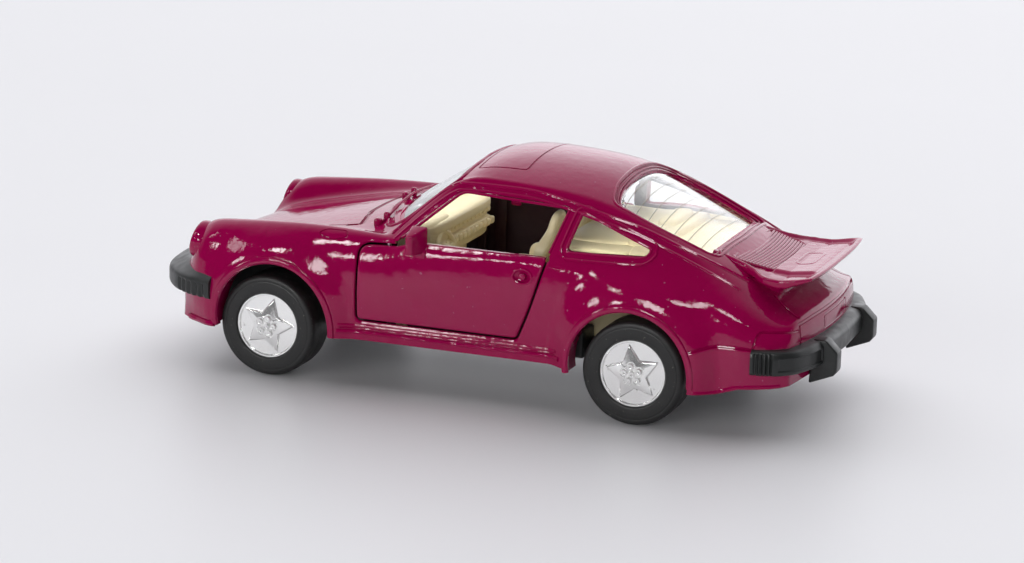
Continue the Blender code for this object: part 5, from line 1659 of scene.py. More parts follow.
@dataclass
class Pane:
    """A window's outline and how far its pane stands up from the clear sheet."""

    outline: Array
    view: View
    lift: float
    span: Pair

    def depth(self, plan: LinesPlan, points: Array) -> Array:
        """How far points lie inside the outline, in mm: the distance to its nearest side, or 0 outside.

        A point is inside where a line from it crosses the outline an odd number of times.

        Args:
            plan: The car's lines plan.
            points: Grid of points, in metres.

        Returns:
            The depth at each point.
        """
        spot = points[..., list(self.view.value)][..., None, :]
        start = plan.outline(self.outline, self.view)
        end = np.roll(start, -1, axis=0)
        side = end - start
        share = np.clip(((spot - start) * side).sum(-1) / (side**2).sum(-1), 0.0, 1.0)
        distance = np.linalg.norm(spot - start - share[..., None] * side, axis=-1).min(axis=-1) / MM
        above = (start[:, 1] > spot[..., 1]) != (end[:, 1] > spot[..., 1])
        rise = np.where(np.abs(side[:, 1]) < 1e-12, 1e-12, side[:, 1])
        cross = start[:, 0] + (spot[..., 1] - start[:, 1]) / rise * side[:, 0]
        inside = np.count_nonzero(above & (spot[..., 0] < cross), axis=-1) % 2 == 1
        s = (points[..., 1] - plan.axle_y) / MM
        return np.where(inside & (s > self.span[0]) & (s < self.span[1]), distance, 0.0)


@dataclass
class Sheet:
    """A sheet of even thickness at a depth under the car's skin, between stations and rails."""

    plan: LinesPlan
    inset: float
    thickness: float

    def solid(self, u: Array, v: Array, panes: tuple[Pane, ...] = ()) -> Solid:
        """The sheet's outer face, its inner face and its rim; panes stand up into their openings.

        Args:
            u: Station parameters.
            v: Rail parameters; negative ones lie on the right half.
            panes: Outlines inside which the sheet stands higher.

        Returns:
            The closed sheet.
        """
        v = np.where(np.abs(v) < 1e-9, 1e-6, v)
        grid_u, grid_v = np.meshgrid(u, np.abs(v), indexing="ij")
        hand = np.where(v < 0, -1.0, 1.0)[None, :]
        points = self.plan.at(grid_u, grid_v)
        normals = self.plan.normal(grid_u, grid_v)
        points[..., 0] *= hand
        normals[..., 0] *= hand
        inset = np.full(points.shape[:2], self.inset)
        for pane in panes:
            inset -= pane.lift * ease((pane.depth(self.plan, points) + 0.12) / 0.42)
        outer = points - normals * inset[..., None] * MM
        inner = outer - normals * self.thickness * MM
        rims = [
            np.concatenate([face[:, 0], face[-1, 1:], face[-2::-1, -1], face[0, -2:0:-1]])
            for face in (outer, inner)
        ]
        rim = lattice(np.stack(rims), wrap_columns=True)
        return Solid.joined([lattice(outer), lattice(inner), rim])


@dataclass
class Glazing(SubAssembly):
    """The clear moulding under the roof, and the headlamp lenses."""

    shell: BodyShell
    inset: float = 1.4
    thickness: float = 0.7
    heater_rows: int = 7
    flutes: float = 0.62
    flute_height: float = 0.05

    def panes(self) -> list[Solid]:
        """One sheet from the windscreen over the roof to the rear window, and two quarter windows.

        Returns:
            The sheets.
        """
        plan = self.plan
        sheet = Sheet(plan, self.inset, self.thickness)
        shapes = self.shell.openings
        screen = shapes.screen_line()
        window = shapes.rear_line(shapes.rear_window)
        front, rear = plan.station("roof_front"), plan.station("roof_rear")
        u = np.concatenate([np.linspace(plan.station("screen_low", -0.1), front, 130),
                            np.linspace(front, rear, 12)[1:-1],
                            np.linspace(rear, plan.station("window_base", 0.34), 90)])
        panes = (Pane(screen, View.END, 0.8, shapes.screen_span), Pane(window, View.PLAN, 0.3, (50.0, 80.0)))
        side_u = np.linspace(plan.station("roof_rear", 0.45), plan.station("window_base", 0.0), 110)
        side = sheet.solid(side_u, np.linspace(4.08, 5.05, 70))
        return [sheet.solid(u, np.linspace(-3.95, 3.95, 121), panes), side.both()]

    def heater(self) -> list[Solid]:
        """Fine printed lines across the rear window, evenly apart down the glass.

        Returns:
            The lines.
        """
        plan = self.plan
        lines = []
        for share in np.linspace(0.10, 0.88, self.heater_rows):
            across = np.linspace(-2.9, 2.9, 60)
            row = np.full_like(across, plan.station("window_top") + 0.15 + share * 1.95)
            flip = np.stack([np.sign(across), np.ones(60), np.ones(60)], axis=1)
            normals = plan.normal(row, np.abs(across)) * flip
            points = plan.at(row, np.abs(across)) * flip - normals * (self.inset - 0.32) * MM
            lines.append(Trace(points, normals, False).bead(0.055, 0.0, 0.5, 6))
        return lines

    def lens(self) -> Solid:
        """A headlamp lens: a shallow dome whose height ripples across it in upright flutes.

        Returns:
            The closed lens, facing +Z.
        """
        t = np.linspace(0.0, 1.0, 60)[:, None]
        angle = full_turn(120)[None, :]
        radius = self.shell.lamp_radius * t
        x = radius * np.cos(angle)
        ripple = self.flute_height * np.cos(2 * math.pi * x / self.flutes) * ease((0.94 - t) / 0.12)
        height = 0.45 * np.sqrt(np.clip(1.0 - t**2 * 0.98, 0.0, 1.0)) - 0.3 + ripple
        face = np.stack([x, radius * np.sin(angle), height], axis=-1)
        back = np.stack([face[-1], face[-1] * np.array([0.85, 0.85, 1.0])])
        back[:, :, 2] = -0.5
        middle = np.zeros_like(face[:1]) + np.array([0.0, 0.0, -0.12])
        return lattice(np.concatenate([face, back, middle]) * MM, wrap_columns=True)

    def build(self) -> None:
        """Make the glazing, the printed lines of the rear window, the lenses and their bowls."""
        finishes = self.shop.finishes
        self.shop.make("clear_glazing", self.panes(), finishes.clear, Slot.GLAZING, "glazing")
        self.shop.make("rear_window_lines", self.heater(), finishes.printed, Slot.BLACK)
        t = np.linspace(0.0, 1.0, 24)
        front = np.stack([self.shell.lamp_radius * t, -1.22 + 0.6 * t**2], axis=1)
        dish = np.concatenate([front, front[::-1] - np.array([0.0, 0.06])])
        for side, hand in ((1, "left"), (-1, "right")):
            place = self.shell.lamp_frame(side)
            lens = [self.lens().moved(place)]
            node = f"headlamp_lens_{hand}"
            self.shop.make(f"lamp_lens_{hand}", lens, finishes.clear, Slot.GLAZING, node)
            bowl = [turned(dish * MM, 64).moved(place)]
            self.shop.make(f"lamp_bowl_{hand}", bowl, finishes.plating, Slot.PLATING)


# Cabin


@dataclass
class Cabin(SubAssembly):
    """The cream interior: tub, seats, bench and shelf, dashboard and steering wheel."""

    seat_x: float = 8.6
    seat_s: float = 42.2
    seat_foot: float = 15.6
    seat_height: float = 14.5
    seat_half_width: float = 5.1
    headrest_half_width: float = 2.5
    lean: float = math.radians(13)
    wheel: Triple = (8.6, 26.0, 20.7)
    wheel_radius: float = 3.4
    wheel_rim: float = 0.45
    wheel_tilt: float = math.radians(14)
    tub_blocks: tuple[Block, ...] = (
        ((-17.0, 20.0, 9.35), (17.0, 50.6, 10.5), 0.1),
        ((-13.8, 19.2, 9.4), (13.8, 20.5, 18.4), 0.12),
        ((-2.2, 21.0, 10.2), (2.2, 50.4, 14.2), 0.25),
        ((-12.6, 49.2, 10.5), (12.6, 72.8, 18.3), 0.1),
        ((-16.4, 46.9, 19.2), (16.4, 60.0, 26.0), 0.14),
        ((-16.6, 59.2, 19.4), (16.6, 63.0, 26.2), 0.25),
        ((-15.2, 61.4, 23.4), (15.2, 71.6, 25.0), 0.14),
    )
    side_blocks: tuple[Block, ...] = (
        ((16.0, 22.0, 9.5), (17.2, 50.0, 13.6), 0.2),
        ((1.2, 58.0, 19.6), (12.6, 61.4, 27.3), 0.35),
        ((1.2, 48.2, 23.6), (12.6, 59.0, 26.6), 0.35),
        ((16.2, 47.6, 19.2), (17.4, 69.6, 25.4), 0.15),
    )
    dash_blocks: tuple[Block, ...] = (
        ((-13.6, 18.9, 19.0), (13.6, 24.6, 24.6), 0.2),
        ((-13.4, 19.8, 23.7), (13.4, 25.8, 25.9), 0.4),
        ((-13.6, 20.4, 20.4), (13.6, 25.4, 22.5), 0.3),
    )

    def seat(self, side: int) -> list[Solid]:
        """One front seat: a cushion with bolsters and a back that narrows to its headrest.

        The back's sections are superellipses whose half width falls from the shoulders to the headrest.

        Args:
            side: 1 for the left seat, -1 for the right.

        Returns:
            The seat's solids.
        """
        height = np.linspace(0.0, 1.0, 44)
        shoulder = ease((0.82 - height) / 0.26)
        crown = np.sqrt(np.clip(1.0 - ((height - 0.5) / 0.5) ** 8, 0.0, 1.0))
        narrow, wide = self.headrest_half_width, self.seat_half_width
        half_width = (narrow + (wide - narrow) * shoulder) * crown
        half_depth = (0.85 + 0.5 * shoulder) * crown
        angle = full_turn(52)
        x = half_width[:, None] * signed_power(np.cos(angle), 0.55)
        y = half_depth[:, None] * signed_power(np.sin(angle), 0.7)
        y = y + np.where(np.sin(angle) < 0, -0.55, 0.0) * np.abs(np.cos(angle)) ** 4 * shoulder[:, None]
        z = np.broadcast_to(height[:, None] * self.seat_height, x.shape)
        back = tube(np.stack([x, y, z], axis=-1) * MM)
        place = self.plan.metres((side * self.seat_x, self.seat_s, self.seat_foot))
        back = back.moved(Matrix.Translation(place) @ Matrix.Rotation(-self.lean, 4, "X"))
        x0 = side * self.seat_x - self.seat_half_width
        x1 = side * self.seat_x + self.seat_half_width
        cushion = self.plan.block((x0, 33.4, 10.6), (x1, 45.0, 17.0), 0.28)
        made = [back, cushion]
        for edge in (x0 + 0.9, x1 - 0.9):
            made.append(self.plan.block((edge - 0.9, 34.2, 14.4), (edge + 0.9, 43.6, 18.0), 0.4))
            made.append(self.plan.block((edge - 0.9, 38.8, 15.5), (edge + 0.9, 44.0, 22.9), 0.5))
        return made

    def tub(self) -> list[Solid]:
        """Floor, tunnel, sills, footwell wall, bench, shelf and side panels, each a soft-edged block.

        Returns:
            The blocks.
        """
        made = [self.plan.block(*row) for row in self.tub_blocks]
        for side in (-1, 1):
            for low, high, power in self.side_blocks:
                x0, x1 = sorted((side * low[0], side * high[0]))
                made.append(self.plan.block((x0, *low[1:]), (x1, *high[1:]), power))
        return made

    def dashboard(self) -> list[Solid]:
        """The dashboard: pad, face, two rows of moulded bumps, lower shelf and instrument hood.

        Returns:
            The blocks.
        """
        x = self.wheel[0]
        made = [self.plan.block(*row) for row in self.dash_blocks]
        made.append(self.plan.block((x - 4.9, 20.4, 21.6), (x + 4.9, 25.4, 26.4), 0.5))
        for middle in np.linspace(-12.4, 12.4, 15):
            made.append(self.plan.block((middle - 0.7, 23.8, 22.9), (middle + 0.7, 25.0, 24.0), 0.5))
            made.append(self.plan.block((middle - 0.75, 24.4, 20.9), (middle + 0.75, 25.8, 22.2), 0.5))
        return made

    def steering(self) -> list[Solid]:
        """The steering wheel: a rim, a hub, three spokes and its column.

        Returns:
            The solids, in their place.
        """
        angle = full_turn(14)
        rim = self.wheel_rim * np.stack([np.cos(angle), np.sin(angle)], axis=1)
        made = [turned((rim + np.array([self.wheel_radius, 0.0])) * MM, 72, closed=True)]
        made.append(superquad((0, 0, 0), (1.35, 1.35, 0.6), 0.6))
        made.append(superquad((0, 0, -2.2 * MM), (0.62, 0.62, 2.2), 0.3))
        for spoke in (10.0, 170.0, -90.0):
            turn = Matrix.Rotation(math.radians(spoke), 4, "Z")
            made.append(superquad((2.4 * MM, 0, 0), (1.7, 0.5, 0.3), 0.4).moved(turn))
        axis = (0.0, math.cos(self.wheel_tilt), math.sin(self.wheel_tilt))
        place = facing(self.plan.metres(self.wheel), axis)
        return [solid.moved(place) for solid in made]

    def build(self) -> None:
        """Make the interior's three mouldings."""
        cream = self.shop.finishes.cream
        tub = [*self.tub(), *self.seat(1), *self.seat(-1)]
        self.shop.make("cream_tub", tub, cream, Slot.CREAM, "interior_tub")
        self.shop.make("cream_dashboard", self.dashboard(), cream, Slot.CREAM, "dashboard")
        self.shop.make("cream_steering_wheel", self.steering(), cream, Slot.CREAM, "steering_wheel")


@dataclass
class WheelWells(SubAssembly):
    """Black walls of the base that close the front wheel arches towards the cabin."""

    wall: Pair = (12.1, 12.9)
    front: Points = (
        (-13.0, 7.95), (-2.0, 7.95), (-2.0, 9.8), (2.0, 9.8), (2.0, 7.95), (11.5, 7.95), (11.5, 19.4),
        (-13.0, 19.4))
    rear_block: tuple[Triple, Triple] = ((13.0, 50.6, 8.4), (18.4, 53.4, 13.0))

    def build(self) -> None:
        """Make the walls of both sides."""
        wall = self.plan.prism(rounded(self.front, 0.6, 0.4), View.SIDE, *self.wall)
        block = self.plan.block(*self.rear_block, 0.2, (28, 40))
        walls = [wall.both(), block.both()]
        self.shop.make("black_wheel_wells", walls, self.shop.finishes.black, Slot.BLACK)


# Bumpers and spoiler


@dataclass
class Bumper(SubAssembly):
    """A black bumper: a section carried round the car's end, with ribbed bellows at both corners."""

    name: str
    node: str
    plan_line: Points
    section: Points
    outward: float
    depth: Pair
    bellows: Pair
    ribs: int
    rib_depth: float = 0.34
    rib_top: float = 14.2
    strip: tuple[float, float, float, float] | None = None
    strip_depth: float = 0.2

    def bar(self) -> Solid:
        """The bar: at each place along its plan line, the section stands out square to the line.

        The bellows are a cosine wave taken off the section between two shares of the half length, and
        the strip is a shallow panel between two heights.

        Returns:
            The closed bar.
        """
        half = fair(self.plan_line, 0.13)
        line = np.concatenate([half[::-1] * np.array([-1.0, 1.0]), half[1:]])
        along = unit(np.gradient(line, axis=0))
        inward = np.stack([-along[:, 1], along[:, 0]], axis=1) * self.outward
        run = np.concatenate([[0.0], np.cumsum(np.linalg.norm(np.diff(line, axis=0), axis=1))])
        share = np.abs(2 * run / run[-1] - 1)
        section = rounded(self.section, 0.42, 0.13)
        fill = self.depth[0] + (self.depth[1] - self.depth[0]) * share**2
        first, last = self.bellows
        phase = (share - first) / (last - first)
        inside = ease(phase * 30) * ease((1 - phase) * 30)
        wave = inside * self.rib_depth * (0.5 - 0.5 * np.cos(2 * math.pi * self.ribs * phase))
        face = 1.0 - ease((section[:, 0] - 0.2) / 0.6)
        ribbed = face * ease((self.rib_top - section[:, 1]) / 0.5)
        setback = section[None, :, 0] * fill[:, None] + wave[:, None] * ribbed[None, :]
        if self.strip is not None:
            start, end, low, high = self.strip
            along_strip = ease((share - start) * 120) * ease((end - share) * 120)
            tall = ease((section[:, 1] - low) / 0.15) * ease((high - section[:, 1]) / 0.15)
            setback = setback + self.strip_depth * along_strip[:, None] * (tall * face)[None, :]
        points = np.zeros((*setback.shape, 3))
        points[..., :2] = line[:, None] + inward[:, None] * setback[..., None]
        points[..., 2] = section[None, :, 1]
        return tube(self.plan.metres(points))

    def build(self, extras: list[Solid]) -> None:
        """Make the bumper with what it carries."""
        self.shop.make(self.name, [self.bar(), *extras], self.shop.finishes.black, Slot.BLACK, self.node)


@dataclass
class Overriders(SubAssembly):
    """Two bevelled blocks on the rear bumper."""

    width: Pair = (9.5, 12.3)
    profile: Points = ((88.4, 7.3), (92.3, 8.9), (92.85, 9.6), (92.85, 12.6), (90.9, 14.5), (88.8, 14.5))

    def solids(self) -> list[Solid]:
        """Both blocks: a side profile carried across their width and its edges rounded."""
        block = self.plan.prism(self.profile, View.SIDE, *self.width)
        return [bevelled(block, 0.35, 4).both()]


@dataclass
class WhaleTail(SubAssembly):
    """The rear spoiler: a dished tray with a raised lip on a stem, and louvres ahead of it."""

    widths: Points = (
        (71.8, 11.0), (75.0, 11.4), (77.6, 12.0), (79.2, 13.0), (80.2, 14.1), (81.2, 14.9), (83.0, 15.3),
        (87.0, 15.45), (88.8, 15.3), (89.8, 14.8))
    rims: Points = (
        (71.8, 26.6), (72.8, 26.5), (74.2, 26.2), (76.4, 25.6), (78.7, 25.0), (80.4, 24.45), (82.0, 24.2),
        (84.0, 24.15), (87.0, 24.5), (89.8, 24.9))
    floors: Points = (
        (71.8, 26.4), (72.8, 26.15), (74.2, 25.7), (76.0, 25.1), (78.7, 24.4), (81.4, 23.75),
        (84.0, 23.55), (87.5, 24.0), (89.8, 24.6))
    undersides: Points = (
        (71.8, 25.2), (74.2, 24.2), (77.4, 23.4), (80.5, 22.8), (83.7, 22.3), (85.3, 22.5), (86.9, 23.2),
        (89.2, 24.0), (89.8, 24.3))
    front: float = 71.8
    rear: float = 89.8
    lip: float = 1.3
    plateau: Triple = (81.0, 10.2, 0.5)
    panel: tuple[float, float, float, float] = (4.0, 83.2, 86.0, 0.45)
    stem_heights: Pair = (17.5, 23.5)
    stem_ends: Pair = (73.5, 83.4)
    stem_half: float = 11.3
    stem_growth: Pair = (1.7, 2.4)
    stem_corner: float = 0.3
    louvre_rows: int = 12
    louvre_span: Pair = (75.4, 80.9)
    louvre_half: Pair = (10.4, 9.0)

    def height(self, table: Points, s: Array) -> Array:
        """A height of the tray at places along the car."""
        return np.interp(s, *np.array(table).T)

    def tray(self) -> Solid:
        """The tray: sections across the car whose top is a dish inside a lip and whose edge is round.

        Going round a section, x is the half width times a flattened cosine. The height runs from the
        lip's top to its underside by a sine of the same kind, and the dish is taken off the top.

        Returns:
            The closed tray.
        """
        s = np.linspace(self.front, self.rear, 150)
        width, rim, floor, under = (
            self.height(table, s) for table in (self.widths, self.rims, self.floors, self.undersides))
        angle = full_turn(220)
        cos = np.cos(angle)
        sin = np.sign(np.sin(angle)) * np.clip(1 - np.abs(cos) ** 9, 0.0, 1.0) ** 0.2
        x = width[:, None] * cos[None, :]
        middle = (rim + under)[:, None] / 2
        z = middle + (rim - under)[:, None] / 2 * sin[None, :]
        inside = ease((width[:, None] - np.abs(x) - 0.45) / self.lip)
        tail = ease((self.rear - s - 0.5) / 1.3)[:, None]
        start, half, height = self.plateau
        raised = height * (ease((s - start) / 0.6) * ease((self.rear - s - 0.6) / 2.0))[:, None]
        raised = raised * ease((half - np.abs(x)) / 1.0)
        z = z - np.where(sin > 0, inside * tail * (rim - floor)[:, None] - raised, 0.0)
        last = np.clip((s - self.rear + 0.6) / 0.6, 0.0, 1.0)
        end = 0.4 * (1 - np.sqrt(1 - last**2))
        z = z - end[:, None] * sin[None, :] * 0.75
        bow = -0.75 * (np.abs(cos) ** 3)[None, :] * ease((s - 82.0) / 7.8)[:, None]
        points = np.stack([x, np.broadcast_to(s[:, None], x.shape) + bow, z], axis=-1)
        return tube(self.plan.metres(points))

    def stem(self) -> Solid:
        """The stem: flattened rings from the engine lid up to the tray, wider and longer on top.

        Returns:
            The closed stem.
        """
        t = np.linspace(0.0, 1.0, 30)
        low, high = self.stem_heights
        front, back = self.stem_ends
        wider, longer = self.stem_growth
        z = low + (high - low) * t
        flare = np.clip((t - 0.35) / 0.65, 0.0, 1.0) ** 2
        half_width = self.stem_half + wider * flare
        rear = (back + longer * flare)[:, None]
        angle = full_turn(120)
        x = half_width[:, None] * signed_power(np.cos(angle), self.stem_corner)[None, :]
        ring = signed_power(np.sin(angle), self.stem_corner)[None, :]
        s = (rear + front) / 2 + (rear - front) / 2 * ring
        height = np.minimum(np.broadcast_to(z[:, None], x.shape), self.height(self.undersides, s) + 0.3)
        return tube(self.plan.metres(np.stack([x, s, height], axis=-1)))

    def on_floor(self, line: Array, rise: float, closed: bool) -> Trace:
        """A line seen from above, laid on the tray's floor.

        Args:
            line: Rows of x and s, in mm.
            rise: How far above the floor it lies, in mm.
            closed: Whether it is a ring.

        Returns:
            The trace, square to the floor.
        """
        step = 0.2
        before, here, after = (self.height(self.floors, line[:, 1] + way) for way in (-step, 0.0, step))
        slope = (after - before) / (2 * step)
        points = np.c_[line, here + rise]
        normals = unit(np.stack([np.zeros(len(line)), -slope, np.ones(len(line))], axis=1))
        return Trace(self.plan.metres(points), normals, closed)

    def ridge(self) -> Solid:
        """A soft raised rectangle on the tray's plateau.

        Returns:
            Its bead.
        """
        half, first, last, radius = self.panel
        line = rounded([(half, first), (half, last), (-half, last), (-half, first)], 1.2, 0.25)
        return self.on_floor(line, self.plateau[2], True).bead(radius, radius * 0.3, 0.45, 16)

    def louvres(self) -> list[Solid]:
        """Curved slats across the engine lid in a rounded frame, and two ridges below the rear window.

        Returns:
            The beads.
        """
        first, last = self.louvre_span
        wide, narrow = self.louvre_half
        made = []
        for s in np.linspace(first, last, self.louvre_rows):
            half = wide + (narrow - wide) * (s - first) / (last - first)
            x = np.linspace(-half, half, 50)
            line = np.stack([x, s + 0.5 * (1 - (x / half) ** 2)], axis=1)
            made.append(self.on_floor(line, 0.0, False).bead(0.27, -0.03, 1.0, 10))
        for s in (72.7, 73.9):
            x = np.linspace(-wide, wide, 50)
            line = np.stack([x, np.full_like(x, s)], axis=1)
            made.append(self.on_floor(line, 0.0, False).bead(0.3, 0.02, 1.0, 10))
        corners = [(wide + 0.3, first - 0.6), (narrow + 0.3, last + 0.6), (-narrow - 0.3, last + 0.6),
                   (-wide - 0.3, first - 0.6)]
        made.append(self.on_floor(rounded(corners, 1.5, 0.25), 0.0, True).bead(0.28, -0.02))
        return made

    def build(self) -> None:
        """Make the spoiler and the louvres."""
        paint = self.shop.finishes.paint
        tail = [self.tray(), self.stem(), self.ridge()]
        self.shop.make("whale_tail", tail, paint, Slot.PAINT, "rear_spoiler")
        self.shop.make("engine_lid_louvres", self.louvres(), paint, Slot.PAINT)


# Wheels


@dataclass
class Wheel(SubAssembly):
    """One wheel: a plated star hub and a plain rubber tyre, on the axle's line."""

    end: str
    hand: str
    turn: float
    rim_radius: float = 5.4
    lip: float = 0.34
    pocket: float = -0.34
    star_fold: float = 0.06
    star_rise: float = 0.9
    star_tip: float = 4.75
    star_hollow: float = 2.45
    boss_radius: float = 1.75
    lug_radius: float = 0.5
    lug_circle: float = 1.25
    depth: float = 6.6
    tyre_bore: float = 5.42
    tyre_width: float = 7.0

    def frame(self) -> Matrix:
        """The wheel's place: its own +Z points out of the car.

        Returns:
            The place.
        """
        low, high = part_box(f"tyre_{self.end}_{self.hand}")
        side = 1.0 if self.hand == "left" else -1.0
        hub_low, hub_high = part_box(f"wheel_hub_{self.end}_{self.hand}")
        face = hub_high.x if side > 0 else hub_low.x
        middle = (low + high) / 2
        place = facing((face, middle.y, middle.z), (side, 0.0, 0.0))
        return place @ Matrix.Rotation(self.turn, 4, "Z")

    def hub(self) -> Solid:
        """The hub's face is a height over (radius, angle); a plain back closes it.

        Each arm of the star is folded along its middle: its height grows with the distance from its edge,
        the straight line from its tip to the hollow beside it. Domes stand round the middle.

        Returns:
            The closed hub.
        """
        radius = np.concatenate([np.linspace(0.0, 4.9, 84), np.linspace(4.93, self.rim_radius, 16)])
        radius = radius[:, None]
        angle = full_turn(300)[None, :]
        arm = np.abs((angle - math.pi / 2 + math.pi / 5) % (2 * math.pi / 5) - math.pi / 5)
        hollow = np.array([math.cos(math.pi / 5), math.sin(math.pi / 5)]) * self.star_hollow
        edge = np.array([hollow[0] - self.star_tip, hollow[1]])
        edge = edge / np.linalg.norm(edge)
        inside = edge[1] * (self.star_tip - radius * np.cos(arm)) + edge[0] * radius * np.sin(arm)
        slope = 1.0 - 0.86 * radius / self.star_tip
        star = ease(inside / 0.2) * self.star_rise * slope + np.clip(inside, 0.0, 1.3) * self.star_fold
        rise = ease((radius - (self.rim_radius - self.lip - 0.18)) / 0.18)
        height = self.pocket + np.maximum(star * (1 - rise), -self.pocket * rise)
        height = height - 0.16 * ease((radius - (self.rim_radius - 0.14)) / 0.14)
        centre = self.pocket + 0.86
        boss = centre - 0.14 - 0.2 * ease((radius - self.boss_radius + 0.2) / 0.2)
        height = np.maximum(height, np.where(radius < self.boss_radius, boss, -9.0))
        turns = math.pi / 2 + 2 * math.pi * np.arange(5) / 5
        ring = self.lug_circle * np.stack([np.cos(turns), np.sin(turns)], axis=1)
        lugs = np.concatenate([ring, np.zeros((1, 2))])
        spot = np.stack([radius * np.cos(angle), radius * np.sin(angle)], axis=-1)
        distance = np.linalg.norm(spot[..., None, :] - lugs, axis=-1).min(axis=-1) / self.lug_radius
        disc = 0.6 * np.clip((1.12 - distance) / 0.26, 0.0, 1.0) - 0.16 * ease(1 - distance / 0.5)
        height = np.where(distance < 1.5, np.minimum(height, centre - 0.42) + disc, height)
        face = np.stack([radius * np.cos(angle), radius * np.sin(angle), height - 0.35], axis=-1)
        wall = face[-1].copy()
        wall[:, 2] = -self.depth
        middle = wall * np.array([0.0, 0.0, 1.0])
        return lattice(np.concatenate([face, wall[None], middle[None]]) * MM, wrap_columns=True)

    def tyre(self) -> Solid:
        """The tyre's section carried round: flat sidewalls, tight shoulders and a crown that meets the floor.

        Returns:
            The closed ring.
        """
        low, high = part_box(f"tyre_{self.end}_{self.hand}")
        crown = (low.z + high.z) / 2 / MM
        bore = self.tyre_bore
        width = self.tyre_width
        outer = [(bore, -0.3), (bore + 0.1, -0.08), (6.2, 0.0), (7.25, -0.02), (7.36, -0.12)]
        shoulder = [(7.48, -0.04), (7.9, -0.12), (8.2, -0.4), (8.32, -0.75), (crown, -1.3)]
        groove = crown - 0.07
        tread = [(crown, -2.6), (groove, -2.72), (groove, -2.84), (crown, -2.96), (crown, 0.8 - width / 2)]
        inner = [(crown, 1.3), (8.2, 0.7), (7.9, 0.3), (6.6, 0.02), (bore, 0.0)]
        inner = [(radius, past - width) for radius, past in inner]
        section = rounded([*outer, *shoulder, *tread, *inner], 0.35, 0.12)
        return turned(section * MM, 200, closed=True)

    def build(self) -> None:
        """Make the hub and the tyre."""
        place = self.frame()
        rider = Rider.FRONT_WHEELS if self.end == "front" else Rider.REAR_WHEELS
        label = f"{self.end}_{self.hand}"
        finishes = self.shop.finishes
        for kind, node, solid, finish, slot in (
            ("star_hub", "wheel_hub", self.hub(), finishes.plating, Slot.PLATING),
            ("rubber_tyre", "tyre", self.tyre(), finishes.rubber, Slot.RUBBER),
        ):
            name = f"{kind}_{label}"
            self.shop.make(name, [solid.moved(place)], finish, slot, f"{node}_{label}", rider=rider)


# Stage


@dataclass(frozen=True)
class SoftLight:
    """A rectangular light that faces the car."""

    name: str
    place: Triple
    size: Pair
    power: float
    mirrored: bool

    def hang(self) -> None:
        """Put the light into the scene: a mirrored one lights gloss alone, the others all but gloss."""
        data = bpy.data.lights.new(self.name, "AREA")
        data.shape = "RECTANGLE"
        data.size, data.size_y = self.size
        data.energy = self.power
        light = bpy.data.objects.new(self.name, data)
        light.location = self.place
        light.rotation_euler = (-Vector(self.place)).to_track_quat("-Z", "Y").to_euler()
        light.visible_glossy = self.mirrored
        light.visible_diffuse = not self.mirrored
        bpy.context.scene.collection.objects.link(light)


